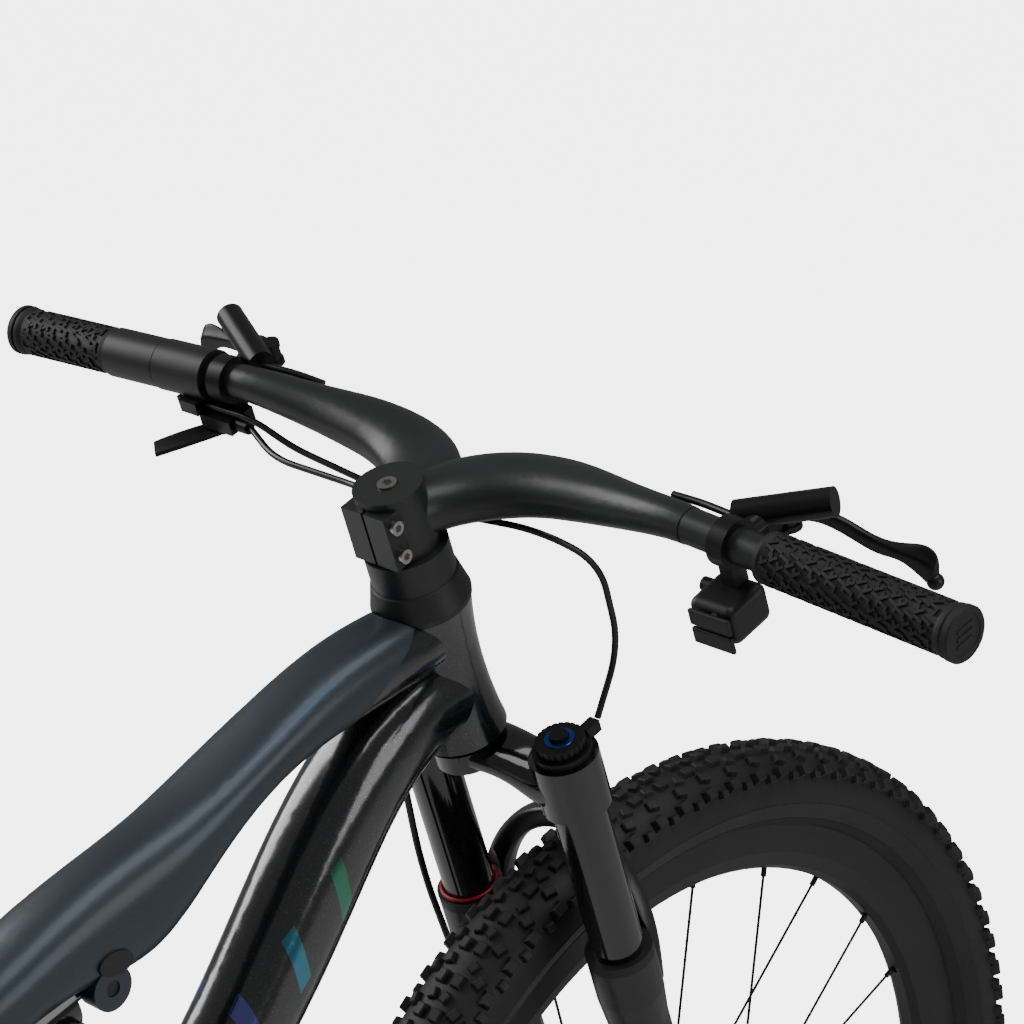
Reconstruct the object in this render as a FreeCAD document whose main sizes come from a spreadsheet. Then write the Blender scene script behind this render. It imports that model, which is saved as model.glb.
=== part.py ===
import FreeCAD, Part
import math
import os

import Sketcher
from FreeCAD import Placement, Rotation, Vector

# Full-suspension mountain bike, millimetres.  +X forward, +Y to the rider's left, +Z up.
# The origin is on the ground, halfway between the two axles.

doc = FreeCAD.newDocument("mountain_bike")
sheet = doc.addObject("Spreadsheet::Sheet", "sizes")

SIZES = {
    # wheels and geometry
    "wheelbase": 1179, "tyre_outer": 372, "tyre_half_width": 30.5, "tyre_wall": 3,
    "head_angle": 66.5, "fork_offset": 44, "bottom_bracket_rise": 330, "chainstay_reach": 437,
    "rim_outer": 317, "rim_inner": 281, "rim_half_width": 16, "bead_seat": 311,
    "spoke_count": 24, "spoke_radius": 1,
    # fork
    "stanchion_radius": 17.5, "leg_spacing": 132.8, "leg_forward": 20, "crown_top": 500,
    "crown_clamp_height": 40, "wiper_level": 337, "fork_travel": 110, "steerer_radius": 14.3,
    # head tube and cockpit, measured along the steering axis from the level of the front axle
    "head_bottom": 513, "head_top": 613, "cover_height": 21, "stem_bottom": 656, "stem_top": 697,
    "bar_radius": 11.1, "bar_half_length": 388, "grip_radius": 16,
    # frame
    "seat_tube_radius": 17.5, "post_radius": 15.45, "post_inner_radius": 12.5, "post_travel": 140,
    "shell_radius": 24, "shell_half_width": 46, "pivot_radius": 6,
    # drivetrain and brakes
    "crank_length": 170, "chainring_radius": 66.5, "chain_line": 52.95, "cog_spacing": 2.8, "rotor_front": 90, "rotor_rear": 80,
    "rotor_thickness": 1.8, "front_hub_half": 55, "rear_hub_half": 74,
}
for row, (alias, value) in enumerate(SIZES.items(), start=1):
    sheet.set(f"A{row}", alias)
    sheet.set(f"B{row}", str(value))
    sheet.setAlias(f"B{row}", alias)
doc.recompute()


def size(alias):
    return float(sheet.get(alias))


X, Y, Z = Vector(1, 0, 0), Vector(0, 1, 0), Vector(0, 0, 1)
SIDES = {"left": 1, "right": -1}
RUN = 0.05   # radial clearance of a running fit
GAP = 0.4    # clearance between parts that pass each other

# --- key points, worked out from the driving sizes ----------------------------------------------

HEAD = math.radians(size("head_angle"))
STEER_UP = Vector(-math.cos(HEAD), 0, math.sin(HEAD))
STEER_FORWARD = Vector(math.sin(HEAD), 0, math.cos(HEAD))
FRONT_AXLE = Vector(size("wheelbase") / 2, 0, size("tyre_outer"))
REAR_AXLE = Vector(-size("wheelbase") / 2, 0, size("tyre_outer"))
STEER_ORIGIN = FRONT_AXLE - STEER_FORWARD * size("fork_offset")
CRANK_CENTRE = Vector(REAR_AXLE.x + size("chainstay_reach"), 0, size("bottom_bracket_rise"))
MAIN_PIVOT = CRANK_CENTRE + Vector(10.5, 0, 75)
ROCKER_PIVOT = CRANK_CENTRE + Vector(-7.5, 0, 258)
SHOCK_REAR = CRANK_CENTRE + Vector(-27.5, 0, 332)
SHOCK_FRONT = CRANK_CENTRE + Vector(190.5, 0, 417)
SEATSTAY_TOP = CRANK_CENTRE + Vector(-132.5, 0, 323)
SEATSTAY_PIVOT = CRANK_CENTRE + Vector(-382.5, 0, 68)
SEAT_TUBE_BASE = CRANK_CENTRE + Vector(52.5, 0, 20)
SEAT_TUBE_TOP = CRANK_CENTRE + Vector(-90.5, 0, 427)
SEAT_UP = (SEAT_TUBE_TOP - SEAT_TUBE_BASE).normalize()
SHOCK_BACK = (SHOCK_REAR - SHOCK_FRONT).normalize()
LEG_Y = size("leg_spacing") / 2


def steer(up, forward=0.0, left=0.0):
    """A point given along the steering axis, forward of it and to the left of it."""
    return STEER_ORIGIN + STEER_UP * up + STEER_FORWARD * forward + Y * left


STEER = Placement(STEER_ORIGIN, Rotation(Y, size("head_angle") - 90))
SIDE_ON = Rotation(Z, Y)


def seat(up):
    return SEAT_TUBE_TOP + SEAT_UP * up


def turned(axis, at=Vector(), roll=0.0):
    """The placement that lays local +Z along axis, with its origin at a point."""
    return Placement(at, Rotation(Z, axis) * Rotation(Z, roll))


# --- small building blocks ----------------------------------------------------------------------

nodes = {}


def as_object(label, thing, place=Placement()):
    """A document object for a shape or object, moved as a whole by a placement."""
    if isinstance(thing, Part.Shape):
        feature = doc.addObject("Part::Feature", label)
        feature.Shape = thing
        feature.Placement = place.multiply(thing.Placement)
        return feature
    thing.Placement = place.multiply(thing.Placement)
    return thing


def keep(label, thing, place=Placement()):
    """Names a sub-part."""
    thing = as_object(label, thing, place)
    thing.Label = label
    nodes[label] = thing
    return thing


def group(label, things, place=Placement()):
    """One sub-part that holds several separate solids."""
    compound = doc.addObject("Part::Compound", label)
    compound.Links = [as_object(f"{label}_piece", thing) for thing in things]
    return keep(label, compound, place)


def carved(label, base, tools):
    """A Part::Cut of a document object by plain shapes."""
    cut = doc.addObject("Part::Cut", label)
    cut.Base = base
    cut.Tool = as_object(label + "_tool", Part.makeCompound(tools))
    return cut


def bound(thing, **expressions):
    for prop, expression in expressions.items():
        thing.setExpression(prop, str(expression))
    return thing


def cylinder(radius, height, place=Placement(), name="cylinder"):
    """A Part::Cylinder whose sizes are spreadsheet expressions."""
    thing = bound(doc.addObject("Part::Cylinder", name), Radius=radius, Height=height)
    thing.Placement = place
    return thing


def tube(outer, inner, height, place=Placement(), name="tube"):
    """A Part::Cut of two cylinders whose sizes are spreadsheet expressions."""
    cut = doc.addObject("Part::Cut", name)
    cut.Base = cylinder(outer, height, name=name + "_outside")
    cut.Tool = cylinder(inner, height, name=name + "_bore")
    cut.Placement = place
    return cut


def turned_body(label, outline, place=Placement(), hollow=()):
    """A PartDesign body: (radius, height) expressions revolved about local Z, with an inner void if given."""
    body = doc.addObject("PartDesign::Body", label + "_body")
    sketch = body.newObject("Sketcher::SketchObject", label + "_section")
    plane = next(f for f in body.Origin.OriginFeatures if f.Role == "XZ_Plane")
    sketch.AttachmentSupport = (plane, [""])
    sketch.MapMode = "FlatFace"
    draw_loop(sketch, outline)
    if hollow:
        draw_loop(sketch, hollow)
    turn = body.newObject("PartDesign::Revolution", label + "_turn")
    turn.Profile = sketch
    turn.ReferenceAxis = (sketch, ["V_Axis"])
    turn.Angle = 360
    sketch.Visibility = False
    body.Placement = place
    return body


def draw_loop(sketch, outline):
    """Adds a closed polygon to a sketch and ties every corner to its two expressions."""
    corners = [tuple(evaluate(e) for e in corner) for corner in outline]
    first, count = sketch.GeometryCount, len(corners)
    for i in range(count):
        a, b = corners[i], corners[(i + 1) % count]
        sketch.addGeometry(Part.LineSegment(Vector(a[0], a[1], 0), Vector(b[0], b[1], 0)), False)
    for i in range(count):
        sketch.addConstraint(Sketcher.Constraint("Coincident", first + i, 2, first + (i + 1) % count, 1))
    for i, (corner, words) in enumerate(zip(corners, outline), start=first):
        for kind, value, expression, axis in (
            ("DistanceX", corner[0], words[0], -2),
            ("DistanceY", corner[1], words[1], -1),
        ):
            if abs(value) < 1e-9:
                sketch.addConstraint(Sketcher.Constraint("PointOnObject", i, 1, axis))
                continue
            index = sketch.addConstraint(Sketcher.Constraint(kind, -1, 1, i, 1, value))
            sketch.setExpression(f"Constraints[{index}]", str(expression))


def evaluate(expression):
    """The number that a spreadsheet expression stands for."""
    text = str(expression)
    for alias in sorted(SIZES, key=len, reverse=True):
        text = text.replace("sizes." + alias, repr(size(alias)))
    total = 0.0
    for term in text.replace(" - ", " + -").split(" + "):
        product = 1.0
        for factor in term.split(" * "):
            parts = [float(part) for part in factor.split(" / ")]
            value = parts[0]
            for divisor in parts[1:]:
                value /= divisor
            product *= value
        total += product
    return total


def round_bar(start, end, radius, inner=0.0):
    """A plain cylinder or tube between two points."""
    span = end - start
    bar = Part.makeCylinder(radius, span.Length, start, span)
    if inner:
        bar = bar.cut(Part.makeCylinder(inner, span.Length + 2, start - span.normalize(), span))
    return bar


def hole(centre, axis, radius, half_length):
    axis = Vector(axis).normalize()
    return Part.makeCylinder(radius, 2 * half_length, centre - axis * half_length, axis)


def block(centre, dims, place=None):
    """A box by its centre and full sizes, in a local frame if a rotation is given."""
    box = Part.makeBox(dims[0], dims[1], dims[2], Vector(-dims[0] / 2, -dims[1] / 2, -dims[2] / 2))
    box.Placement = Placement(centre, place or Rotation())
    return box


def oval(centre, across, upward, half_across, half_up, power=2.0, count=16):
    """A closed smooth wire, a superellipse, about a centre."""
    points = []
    for i in range(count):
        angle = 2 * math.pi * i / count
        c, s = math.cos(angle), math.sin(angle)
        a = math.copysign(abs(c) ** (2 / power), c) * half_across
        b = math.copysign(abs(s) ** (2 / power), s) * half_up
        points.append(centre + across * a + upward * b)
    curve = Part.BSplineCurve()
    curve.interpolate(points, PeriodicFlag=True)
    return Part.Wire([curve.toShape()])


def lofted(path, halves, across=Y, power=2.0, grow=0.0, ends=None):
    """A solid along a path of points.  halves gives (half across, half upward) at each point."""
    wires = []
    for i, centre in enumerate(path):
        before, after = path[max(i - 1, 0)], path[min(i + 1, len(path) - 1)]
        tangent = (after - before).normalize()
        if ends and i in (0, len(path) - 1) and ends[0 if i == 0 else 1]:
            tangent = ends[0 if i == 0 else 1]
        side = (across - tangent * across.dot(tangent)).normalize()
        upward = tangent.cross(side).normalize()
        a, b = halves[i]
        wires.append(oval(centre, side, upward, a + grow, b + grow, power))
    return Part.makeLoft(wires, True, False)


def fused(shapes):
    solid = shapes[0].fuse(shapes[1:])
    return solid.removeSplitter()


def main_solid(shape):
    """The largest solid, without the slivers that a cut can leave."""
    print("solids:", [round(solid.Volume / 1000, 2) for solid in shape.Solids])
    return max(shape.Solids, key=lambda solid: solid.Volume)


def routed(points, radius, share=0.45):
    """A cable tube: straight runs joined by tangent arcs, as large as the runs allow."""
    edges, start = [], points[0]
    for before, corner, after in zip(points, points[1:], points[2:]):
        into, out = (corner - before), (after - corner)
        turn = into.getAngle(out)
        run = min(into.Length, out.Length)
        cut = share * run
        a, b = corner - into.normalize() * cut, corner + out.normalize() * cut
        bow = cut / math.tan((math.pi - turn) / 2)
        middle_dir = (a + b) * 0.5 - corner
        bend = cut / math.tan(turn / 2)
        sagitta = math.hypot(bend, cut) - bend
        middle = corner + middle_dir.normalize() * sagitta
        edges.append(Part.makeLine(start, a))
        edges.append(Part.Arc(a, middle, b).toShape())
        start = b
        smallest[0] = min(smallest[0], bend)
    edges.append(Part.makeLine(start, points[-1]))
    path = Part.Wire(edges)
    first = edges[0]
    ring = Part.Wire([Part.makeCircle(radius, points[0], first.tangentAt(first.FirstParameter))])
    swept = path.makePipeShell([ring], True, False)
    share_of = swept.Volume / (math.pi * radius ** 2 * path.Length)
    print(f"cable of {path.Length:.0f} mm, volume share {share_of:.4f}, smallest bend {smallest[0]:.1f}")
    smallest[0] = 1e9
    return swept


smallest = [1e9]


# --- wheels -------------------------------------------------------------------------------------

def tyre(label, centre):
    """A round casing open at the bead, revolved about the axle."""
    shoulder = ((62, 17.6), (54.5, 17.4), (50.5, 12.5), (40, 3), (22, 0), (12, 3), (5, 9), (1, 19), (0, 25))
    outer = [(f"sizes.tyre_outer - {a}", f"sizes.tyre_half_width - {b}") for a, b in shoulder]
    outer += [(f"sizes.tyre_outer - {a}", f"0 - sizes.tyre_half_width + {b}") for a, b in reversed(shoulder)]
    inner = [
        (f"sizes.tyre_outer - {a}", f"0 - sizes.tyre_half_width + {b}")
        for a, b in ((62, 20.6), (54.5, 20.2), (48.5, 14.5), (39, 6), (22, 3), (14, 6), (8, 12), (5, 20))
    ]
    inner += [(r, y.replace("0 - sizes.tyre_half_width + ", "sizes.tyre_half_width - ")) for r, y in inner[::-1]]
    return keep(label, turned_body(label, outer + inner, Placement(centre, SIDE_ON)))


def rim(label, centre):
    """A deep hollow rim with bead hooks, a centre well and one nipple hole for every spoke."""
    half = [("sizes.rim_inner", 5), ("sizes.rim_inner + 4", 11), ("sizes.rim_inner + 15", "sizes.rim_half_width - 1"),
            ("sizes.rim_outer", "sizes.rim_half_width"), ("sizes.rim_outer", "sizes.rim_half_width - 2.4"),
            ("sizes.bead_seat - 4", "sizes.rim_half_width - 2.6"), ("sizes.bead_seat - 6", 7),
            ("sizes.bead_seat - 9", 4)]
    outline = half + [(r, f"0 - {y}".replace("width - ", "width + ")) for r, y in reversed(half)]
    inner = [("sizes.rim_inner + 4.5", 4.5), ("sizes.rim_inner + 16", 12), ("sizes.rim_inner + 18.5", 5)]
    inner += [(r, f"0 - {y}") for r, y in reversed(inner)]
    body = turned_body(label, outline, Placement(centre, SIDE_ON), hollow=inner)
    drill = body.newObject("Sketcher::SketchObject", label + "_nipple_hole")
    plane = next(f for f in body.Origin.OriginFeatures if f.Role == "YZ_Plane")
    drill.AttachmentSupport = (plane, [""])
    drill.MapMode = "FlatFace"
    drill.addGeometry(Part.Circle(Vector(), Z, 2.7), False)
    drill.addConstraint(Sketcher.Constraint("Coincident", 0, 3, -1, 1))
    drill.addConstraint(Sketcher.Constraint("Radius", 0, 2.7))
    pocket = body.newObject("PartDesign::Pocket", label + "_drill")
    pocket.Profile = drill
    pocket.Reversed = True
    bound(pocket, Length="sizes.rim_inner + 10")
    drill.Visibility = False
    pattern = body.newObject("PartDesign::PolarPattern", label + "_drillings")
    pattern.Originals = [pocket]
    pattern.Axis = (next(f for f in body.Origin.OriginFeatures if f.Role == "Z_Axis"), [""])
    pattern.Angle = 360
    bound(pattern, Occurrences="sizes.spoke_count")
    body.Tip = pattern
    return keep(label, body)


def lacing(flanges):
    """(rim angle, hub angle, flange height, offset beside the flange) for every spoke, crossed in pairs."""
    count = int(size("spoke_count"))
    for k in range(count):
        pair = k // 2
        rim_angle = 2 * math.pi * k / count
        lead = 1 if pair % 2 else -1
        yield rim_angle, rim_angle + lead * math.radians(60), flanges[k % 2], 2.7 * lead * (1, -1)[k % 2]


def polar(radius, angle, height):
    return Vector(radius * math.cos(angle), radius * math.sin(angle), height)


def spokes(label, centre, flanges):
    """Crossed spokes with a bend and head in the hub flange and a nipple in the rim."""
    wires = []
    wire, hub_radius = size("spoke_radius"), 26.5
    for rim_angle, hub_angle, flange, offset in lacing(flanges):
        inner = polar(hub_radius, hub_angle, flange + offset)
        outer = polar(size("rim_inner") + 6, rim_angle, 1.5 if flange > 0 else -1.5)
        along = (outer - inner).normalize()
        head = polar(hub_radius, hub_angle, flange - offset * 0.85)
        flat = Z * (0.8 if offset < 0 else -0.8)
        wires.append(fused([
            round_bar(inner, outer - along * 8, wire),
            round_bar(outer - along * 13, outer, 2),
            round_bar(inner, head, wire),
            Part.makeSphere(wire, inner),
            Part.makeCylinder(1.9, 0.8, head, flat),
        ]))
    return group(label, wires, Placement(centre, SIDE_ON))


def hub(label, centre, outline, flanges):
    body = turned_body(label + "_shell", outline)
    drills = [
        Part.makeCylinder(1.25, 5, polar(26.5, hub_angle, flange - 2.5))
        for _, hub_angle, flange, _ in lacing(flanges)
    ]
    return keep(label, carved(label, body, drills), Placement(centre, SIDE_ON))


def rotor(label, centre, height, radius_name):
    """A braking track on six curved arms, with a ring of round vents."""
    radius, thick = size(radius_name), size("rotor_thickness")
    base = Z * (height - thick / 2)
    track = Part.makeCylinder(radius, thick, base).cut(Part.makeCylinder(radius - 15, thick + 2, base - Z))
    boss = Part.makeCylinder(25, thick, base).cut(Part.makeCylinder(18.1, thick + 2, base - Z))
    arms = []
    for k in range(6):
        start, end = polar(21.8, k * math.pi / 3, height), polar(radius - 12, k * math.pi / 3 + 0.55, height)
        span = end - start
        arm = Part.makeBox(span.Length, 7, thick, Vector(0, -3.5, -thick / 2))
        arm.Placement = Placement(start, Rotation(X, span))
        arms.append(arm)
    vents = [
        Part.makeCylinder(2.2, thick + 4, polar(radius - 7.5 + 3.2 * (-1) ** k, k * math.pi / 18, height - 3))
        for k in range(36)
    ]
    disc = fused([track, boss] + arms).cut(Part.makeCompound(vents))
    return keep(label, disc, Placement(centre, SIDE_ON))


FRONT_FLANGES = (27, -27)
REAR_FLANGES = (32, -22)
FRONT_HUB = [
    (7.55, "0 - sizes.front_hub_half"), (10, "0 - sizes.front_hub_half"), (10, -46), (17, -40), (17, -31),
    (29, -28.5), (29, -25.5), (16, -21), (13, 0), (16, 21), (29, 25.5), (29, 28.5), (18, 31), (18, 42), (10, 46),
    (10, "sizes.front_hub_half"), (7.55, "sizes.front_hub_half"),
]
REAR_HUB = [
    (6.05, "0 - sizes.rear_hub_half"), (9, "0 - sizes.rear_hub_half"), (9, -71), (17, -71), (17, -30), (24, -27),
    (29, -23.5), (29, -20.5), (16, -16), (14, 5), (16, 26), (29, 30.5), (29, 33.5), (18, 36), (18, 60), (9, 61),
    (9, "sizes.rear_hub_half"), (6.05, "sizes.rear_hub_half"),
]

tyre("front_tyre", FRONT_AXLE)
tyre("rear_tyre", REAR_AXLE)
rim("front_rim", FRONT_AXLE)
rim("rear_rim", REAR_AXLE)
spokes("front_spokes", FRONT_AXLE, FRONT_FLANGES)
spokes("rear_spokes", REAR_AXLE, REAR_FLANGES)
hub("front_hub", FRONT_AXLE, FRONT_HUB, FRONT_FLANGES)
hub("rear_hub", REAR_AXLE, REAR_HUB, REAR_FLANGES)
rotor("front_rotor", FRONT_AXLE, 38, "rotor_front")
rotor("rear_rotor", REAR_AXLE, 57, "rotor_rear")

# --- fork: in the steering frame, x forward, y left, z up the steering axis ----------------------

CROWN_BASE = size("crown_top") - size("crown_clamp_height")
LEG = {name: Vector(size("leg_forward"), side * LEG_Y, 0) for name, side in SIDES.items()}

arms = lofted(
    [Vector(18, -LEG_Y, 480), Vector(14, -48, 483), Vector(8, -27, 496), Vector(5, 0, 498),
     Vector(8, 27, 496), Vector(14, 48, 483), Vector(18, LEG_Y, 480)],
    [(20, 17), (19, 14), (19, 10), (21, 10), (19, 10), (19, 14), (20, 17)], across=X, power=2.6,
)
sockets = [Part.makeCylinder(22.5, size("crown_clamp_height"), at + Z * CROWN_BASE) for at in LEG.values()]
crown = fused([arms, Part.makeCylinder(21, 18, Vector(0, 0, 490)), Part.makeCone(21, 26, 4, Vector(0, 0, 504))]
              + sockets + [Part.makeCylinder(size("steerer_radius"), 182, Vector(0, 0, 508))])
crown = crown.cut(Part.makeCompound(
    [Part.makeCylinder(size("stanchion_radius") + 0.02, 60, at + Z * (CROWN_BASE - 10)) for at in LEG.values()]
    + [Part.makeCylinder(11.5, 240, Vector(0, 0, 480))]
))
keep("fork_crown", crown, STEER)

group("stanchions", [
    tube("sizes.stanchion_radius", "sizes.stanchion_radius - 2", "sizes.crown_top - 130",
         Placement(at + Z * 130, Rotation()), name="stanchion")
    for at in LEG.values()
], STEER)

cap_top = size("crown_top")
air_cap = fused([
    Part.makeCylinder(17.4, 4, LEG["left"] + Z * (cap_top + GAP)),
    Part.makeCylinder(11, 9, LEG["left"] + Z * (cap_top + GAP)),
])
damper_cap = fused([
    Part.makeCylinder(19, 5, LEG["right"] + Z * (cap_top + GAP)),
    Part.makeCylinder(6, 15, LEG["right"] + Z * (cap_top + GAP)),
    block(LEG["right"] + Vector(22.3, -4, cap_top + 4.4), (12, 8, 8)),
])
group("fork_top_caps", [air_cap, damper_cap], STEER)
cam = Part.makeCylinder(16, 6, LEG["right"] + Z * (cap_top + 6))
for k in range(24):
    cam = cam.cut(Part.makeCylinder(0.9, 8, LEG["right"] + polar(16.2, k * math.pi / 12, cap_top + 5)))
cam = cam.cut(Part.makeCylinder(6 + RUN, 20, LEG["right"] + Z * cap_top))
keep("fork_lockout_cam", cam, STEER)

lower_parts = []
for name, side in SIDES.items():
    at = LEG[name]
    axle_boss = Vector(size("fork_offset"), side * 68, 0)
    lower_parts += [
        Part.makeCylinder(20.5, 352, at + Z * -22),
        Part.makeCylinder(22.5, 30, at + Z * 300),
        Part.makeCone(20.5, 22.5, 24, at + Z * 276),
        Part.makeCylinder(17, 26, axle_boss - Y * 13, Y),
        block(at + Vector(12, side * 1.6, 4), (26, 23, 46)),
    ]
arch = lofted(
    [Vector(34, -LEG_Y, 298), Vector(49, -59, 345), Vector(57, -34, 378), Vector(60, 0, 391),
     Vector(57, 34, 378), Vector(49, 59, 345), Vector(34, LEG_Y, 298)],
    [(11, 12), (8, 9), (8, 8), (8, 8.5), (8, 8), (8, 9), (11, 12)], across=X, power=3,
)
lowers = fused(lower_parts + [arch])
clear = [Part.makeCylinder(size("stanchion_radius") + RUN, 360, at + Z * -12) for at in LEG.values()]
clear += [
    Part.makeCylinder(19, 2 * size("front_hub_half") + 0.8, Vector(44, -size("front_hub_half") - 0.4, 0), Y),
    Part.makeCylinder(7.52, 200, Vector(44, -100, 0), Y),
]
clear += [Part.makeCylinder(size("stanchion_radius") + 5.8, 90, at + Z * 330.05) for at in LEG.values()]
clear += [Part.makeCylinder(12.6, 20, Vector(44, side * 81.05, 0), Y * side) for side in SIDES.values()]
lowers = lowers.cut(Part.makeCompound(clear))
lowers = lowers.fuse(fused([
    block(Vector(-6, LEG_Y - 3, 20), (20, 14, 16)), block(Vector(-6, LEG_Y - 3, 70), (20, 14, 16)),
])).removeSplitter()
lowers = lowers.cut(Part.makeCompound(clear[:2]))
keep("fork_lowers", lowers, STEER)
group("fork_wipers", [
    tube("sizes.stanchion_radius + 5", f"sizes.stanchion_radius + {RUN}", "sizes.wiper_level - 330.1",
         Placement(at + Z * 330.1, Rotation()), name="wiper")
    for at in LEG.values()
], STEER)
ring = bound(doc.addObject("Part::Torus", "sag_ring"), Radius1="sizes.stanchion_radius + 1.5")
ring.Radius2 = 1.4
ring.Placement = Placement(LEG["left"] + Z * 338.6, Rotation())
keep("sag_ring", ring, STEER)

axle = doc.addObject("Part::MultiFuse", "front_axle")
axle.Shapes = [
    cylinder(7.5, "2 * sizes.leg_spacing / 2 + 30", Placement(Vector(44, -82, 0), Rotation(Z, Y))),
    cylinder(12, 5, Placement(Vector(44, -86.1, 0), Rotation(Z, Y))),
]
keep("front_axle", axle, STEER)


def brake_solids(radial, height, disc_radius, bracket):
    """A two-piston caliper over the edge of a disc, with its bracket, and two pads; radial is in radians."""
    middle = polar(disc_radius - 8, radial, height)
    turn = Rotation(Z, math.degrees(radial))
    body = block(middle + polar(7, radial, 0), (34, 46, 22), turn)
    domes = [Part.makeCone(13, 10, 3, middle + Z * 9.6), Part.makeCone(13, 10, 3, middle - Z * 9.6, Z * -1)]
    slot = Part.makeCylinder(disc_radius + 2.5, 7, Vector(0, 0, height - 3.5))
    pads = [Part.makeCylinder(9, 2, middle + Z * 1.3), Part.makeCylinder(9, 2, middle - Z * 3.3)]
    return [fused([body.fuse(domes).cut(slot), bracket])] + pads


front_bracket = block(Vector(-63.5, -45, 55), (6, 66, 29))
group("front_caliper", brake_solids(math.radians(-147.5), 38, size("rotor_front"), front_bracket),
      STEER.multiply(Placement(Vector(size("fork_offset"), 0, 0), SIDE_ON)))
rear_bracket = block(Vector(23, -33, 67.5), (16, 50, 12))
group("rear_caliper", brake_solids(math.radians(-62), 57, size("rotor_rear"), rear_bracket),
      Placement(REAR_AXLE, SIDE_ON))

# --- cockpit ------------------------------------------------------------------------------------

BAR_LINE = [(0, 2, 676), (8, 30, 673.5), (28, 51, 672.5), (58, 63, 674), (90, 65.5, 677), (120, 63.5, 680.5),
            (155, 59, 686.3), (180, 56.2, 689.36), (190, 55.6, 689.2), (388, 44, 686)]
BAR_SECTION = [(20.5, 18.6), (23, 17.6), (24.5, 17), (22.5, 16.4), (19.5, 15.6), (16.5, 14.6), (13.2, 12.8),
               (11.8, 11.8), (11.5, 11.5)]


def on_bar(reach, side):
    """The bar's centre at a distance from the middle, in the steering frame."""
    for (y0, d0, s0), (y1, d1, s1) in zip(BAR_LINE, BAR_LINE[1:]):
        if y0 <= reach <= y1:
            share = (reach - y0) / (y1 - y0)
            return Vector(d0 + share * (d1 - d0), side * reach, s0 + share * (s1 - s0))
    return Vector(BAR_LINE[-1][1], side * reach, BAR_LINE[-1][2])


def bar_place(reach, side):
    """Local Z runs outward along the straight end of the bar."""
    outward = on_bar(388, side) - on_bar(200, side)
    return Placement(on_bar(reach, side), Rotation(X, Z, outward, "ZXY"))


def along_bar(reach, side, radius, length, bore=0.0):
    sleeve = Part.makeCylinder(radius, length)
    if bore:
        sleeve = sleeve.cut(Part.makeCylinder(bore, length + 2, Vector(0, 0, -1)))
    sleeve.Placement = bar_place(reach, side)
    return sleeve


def bar_arm(side, inset=0.0):
    """The curved arm from the steerer clamp to the straight end of the bar, or its hollow when inset."""
    centres = [Vector(forward, side * reach, up) for reach, forward, up in BAR_LINE[:-1]]
    wires = []
    for i, (centre, (half_deep, half_high)) in enumerate(zip(centres, BAR_SECTION)):
        tangent = centres[min(i + 1, len(centres) - 1)] - centres[max(i - 1, 0)]
        if i == len(centres) - 1:
            tangent = on_bar(388, side) - on_bar(190, side)
        across = tangent.cross(Z).normalize()
        upward = across.cross(tangent).normalize()
        wires.append(oval(centre, across, upward, half_deep - inset, half_high - inset, 2.2 if i < 5 else 2.0))
    return Part.makeLoft(wires, True, False)


STEM_LOW, STEM_HIGH = size("stem_bottom"), size("stem_top")
stem_mid = (STEM_LOW + STEM_HIGH) / 2
bar = Part.makeCylinder(22, STEM_HIGH - STEM_LOW, Vector(0, 0, STEM_LOW))
bar = bar.fuse(block(Vector(-14, 0, stem_mid), (22, 36, STEM_HIGH - STEM_LOW - 3)))
for side in SIDES.values():
    bar = bar.fuse(bar_arm(side))
for side in SIDES.values():
    straight = Part.makeCylinder(size("bar_radius"), 204, Z * -6)
    straight.Placement = bar_place(190, side)
    bar = bar.fuse(straight)
hollow_zone = [block(Vector(60, side * 115, stem_mid), (200, 150, 200)) for side in SIDES.values()]
bar_hollow = [bar_arm(side, 3).common(zone) for side, zone in zip(SIDES.values(), hollow_zone)]
for side in SIDES.values():
    bore = Part.makeCylinder(size("bar_radius") - 2.9, 210, Z * -6)
    bore.Placement = bar_place(190, side)
    bar_hollow.append(bore)
bolt_levels = (STEM_LOW + 10, STEM_HIGH - 10)
bar_hollow += [Part.makeCylinder(size("steerer_radius") + 0.02, 60, Vector(0, 0, STEM_LOW - 5)),
               block(Vector(-18, 0, stem_mid), (20, 2, 60))]
bar_hollow += [Part.makeCylinder(3.0, 60, Vector(-18.5, -30, level), Y) for level in bolt_levels]
bar_hollow += [Part.makeCylinder(5, 20, Vector(-18.5, -38, level), Y) for level in bolt_levels]
for tool in bar_hollow:
    bar = bar.cut(tool)
keep("handlebar", main_solid(bar), STEER)

cover = turned_body("headset_cover", [
    (14.4, "sizes.head_top + 0.5"), (31.5, "sizes.head_top + 0.5"), (32, "sizes.head_top + 4"),
    (28, "sizes.head_top + sizes.cover_height - 1"), (27, "sizes.head_top + sizes.cover_height"),
    (14.4, "sizes.head_top + sizes.cover_height"),
])
keep("headset_cover", cover, STEER)
spacers, level = [], size("head_top") + size("cover_height") + 0.02
for height in (4, 12, 3, 2.9):
    spacers.append(tube("sizes.steerer_radius + 12.5", "sizes.steerer_radius + 0.05", str(height - 0.02),
                        Placement(Z * level, Rotation()), name="spacer"))
    level += height
group("headset_spacers", spacers, STEER)

cap = Part.makeCylinder(22, 4, Vector(0, 0, STEM_HIGH + 0.05))
cap = cap.fuse(Part.makeCylinder(20, 4, Vector(3, 0, STEM_HIGH + 0.05))).removeSplitter()
cap = cap.cut(Part.makeCompound([Part.makeCylinder(4.2, 9, Vector(0, 0, STEM_HIGH - 1)),
                                 Part.makeCylinder(6.4, 9, Vector(0, 0, STEM_HIGH + 1.15))]))
keep("stem_top_cap", cap, STEER)


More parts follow.
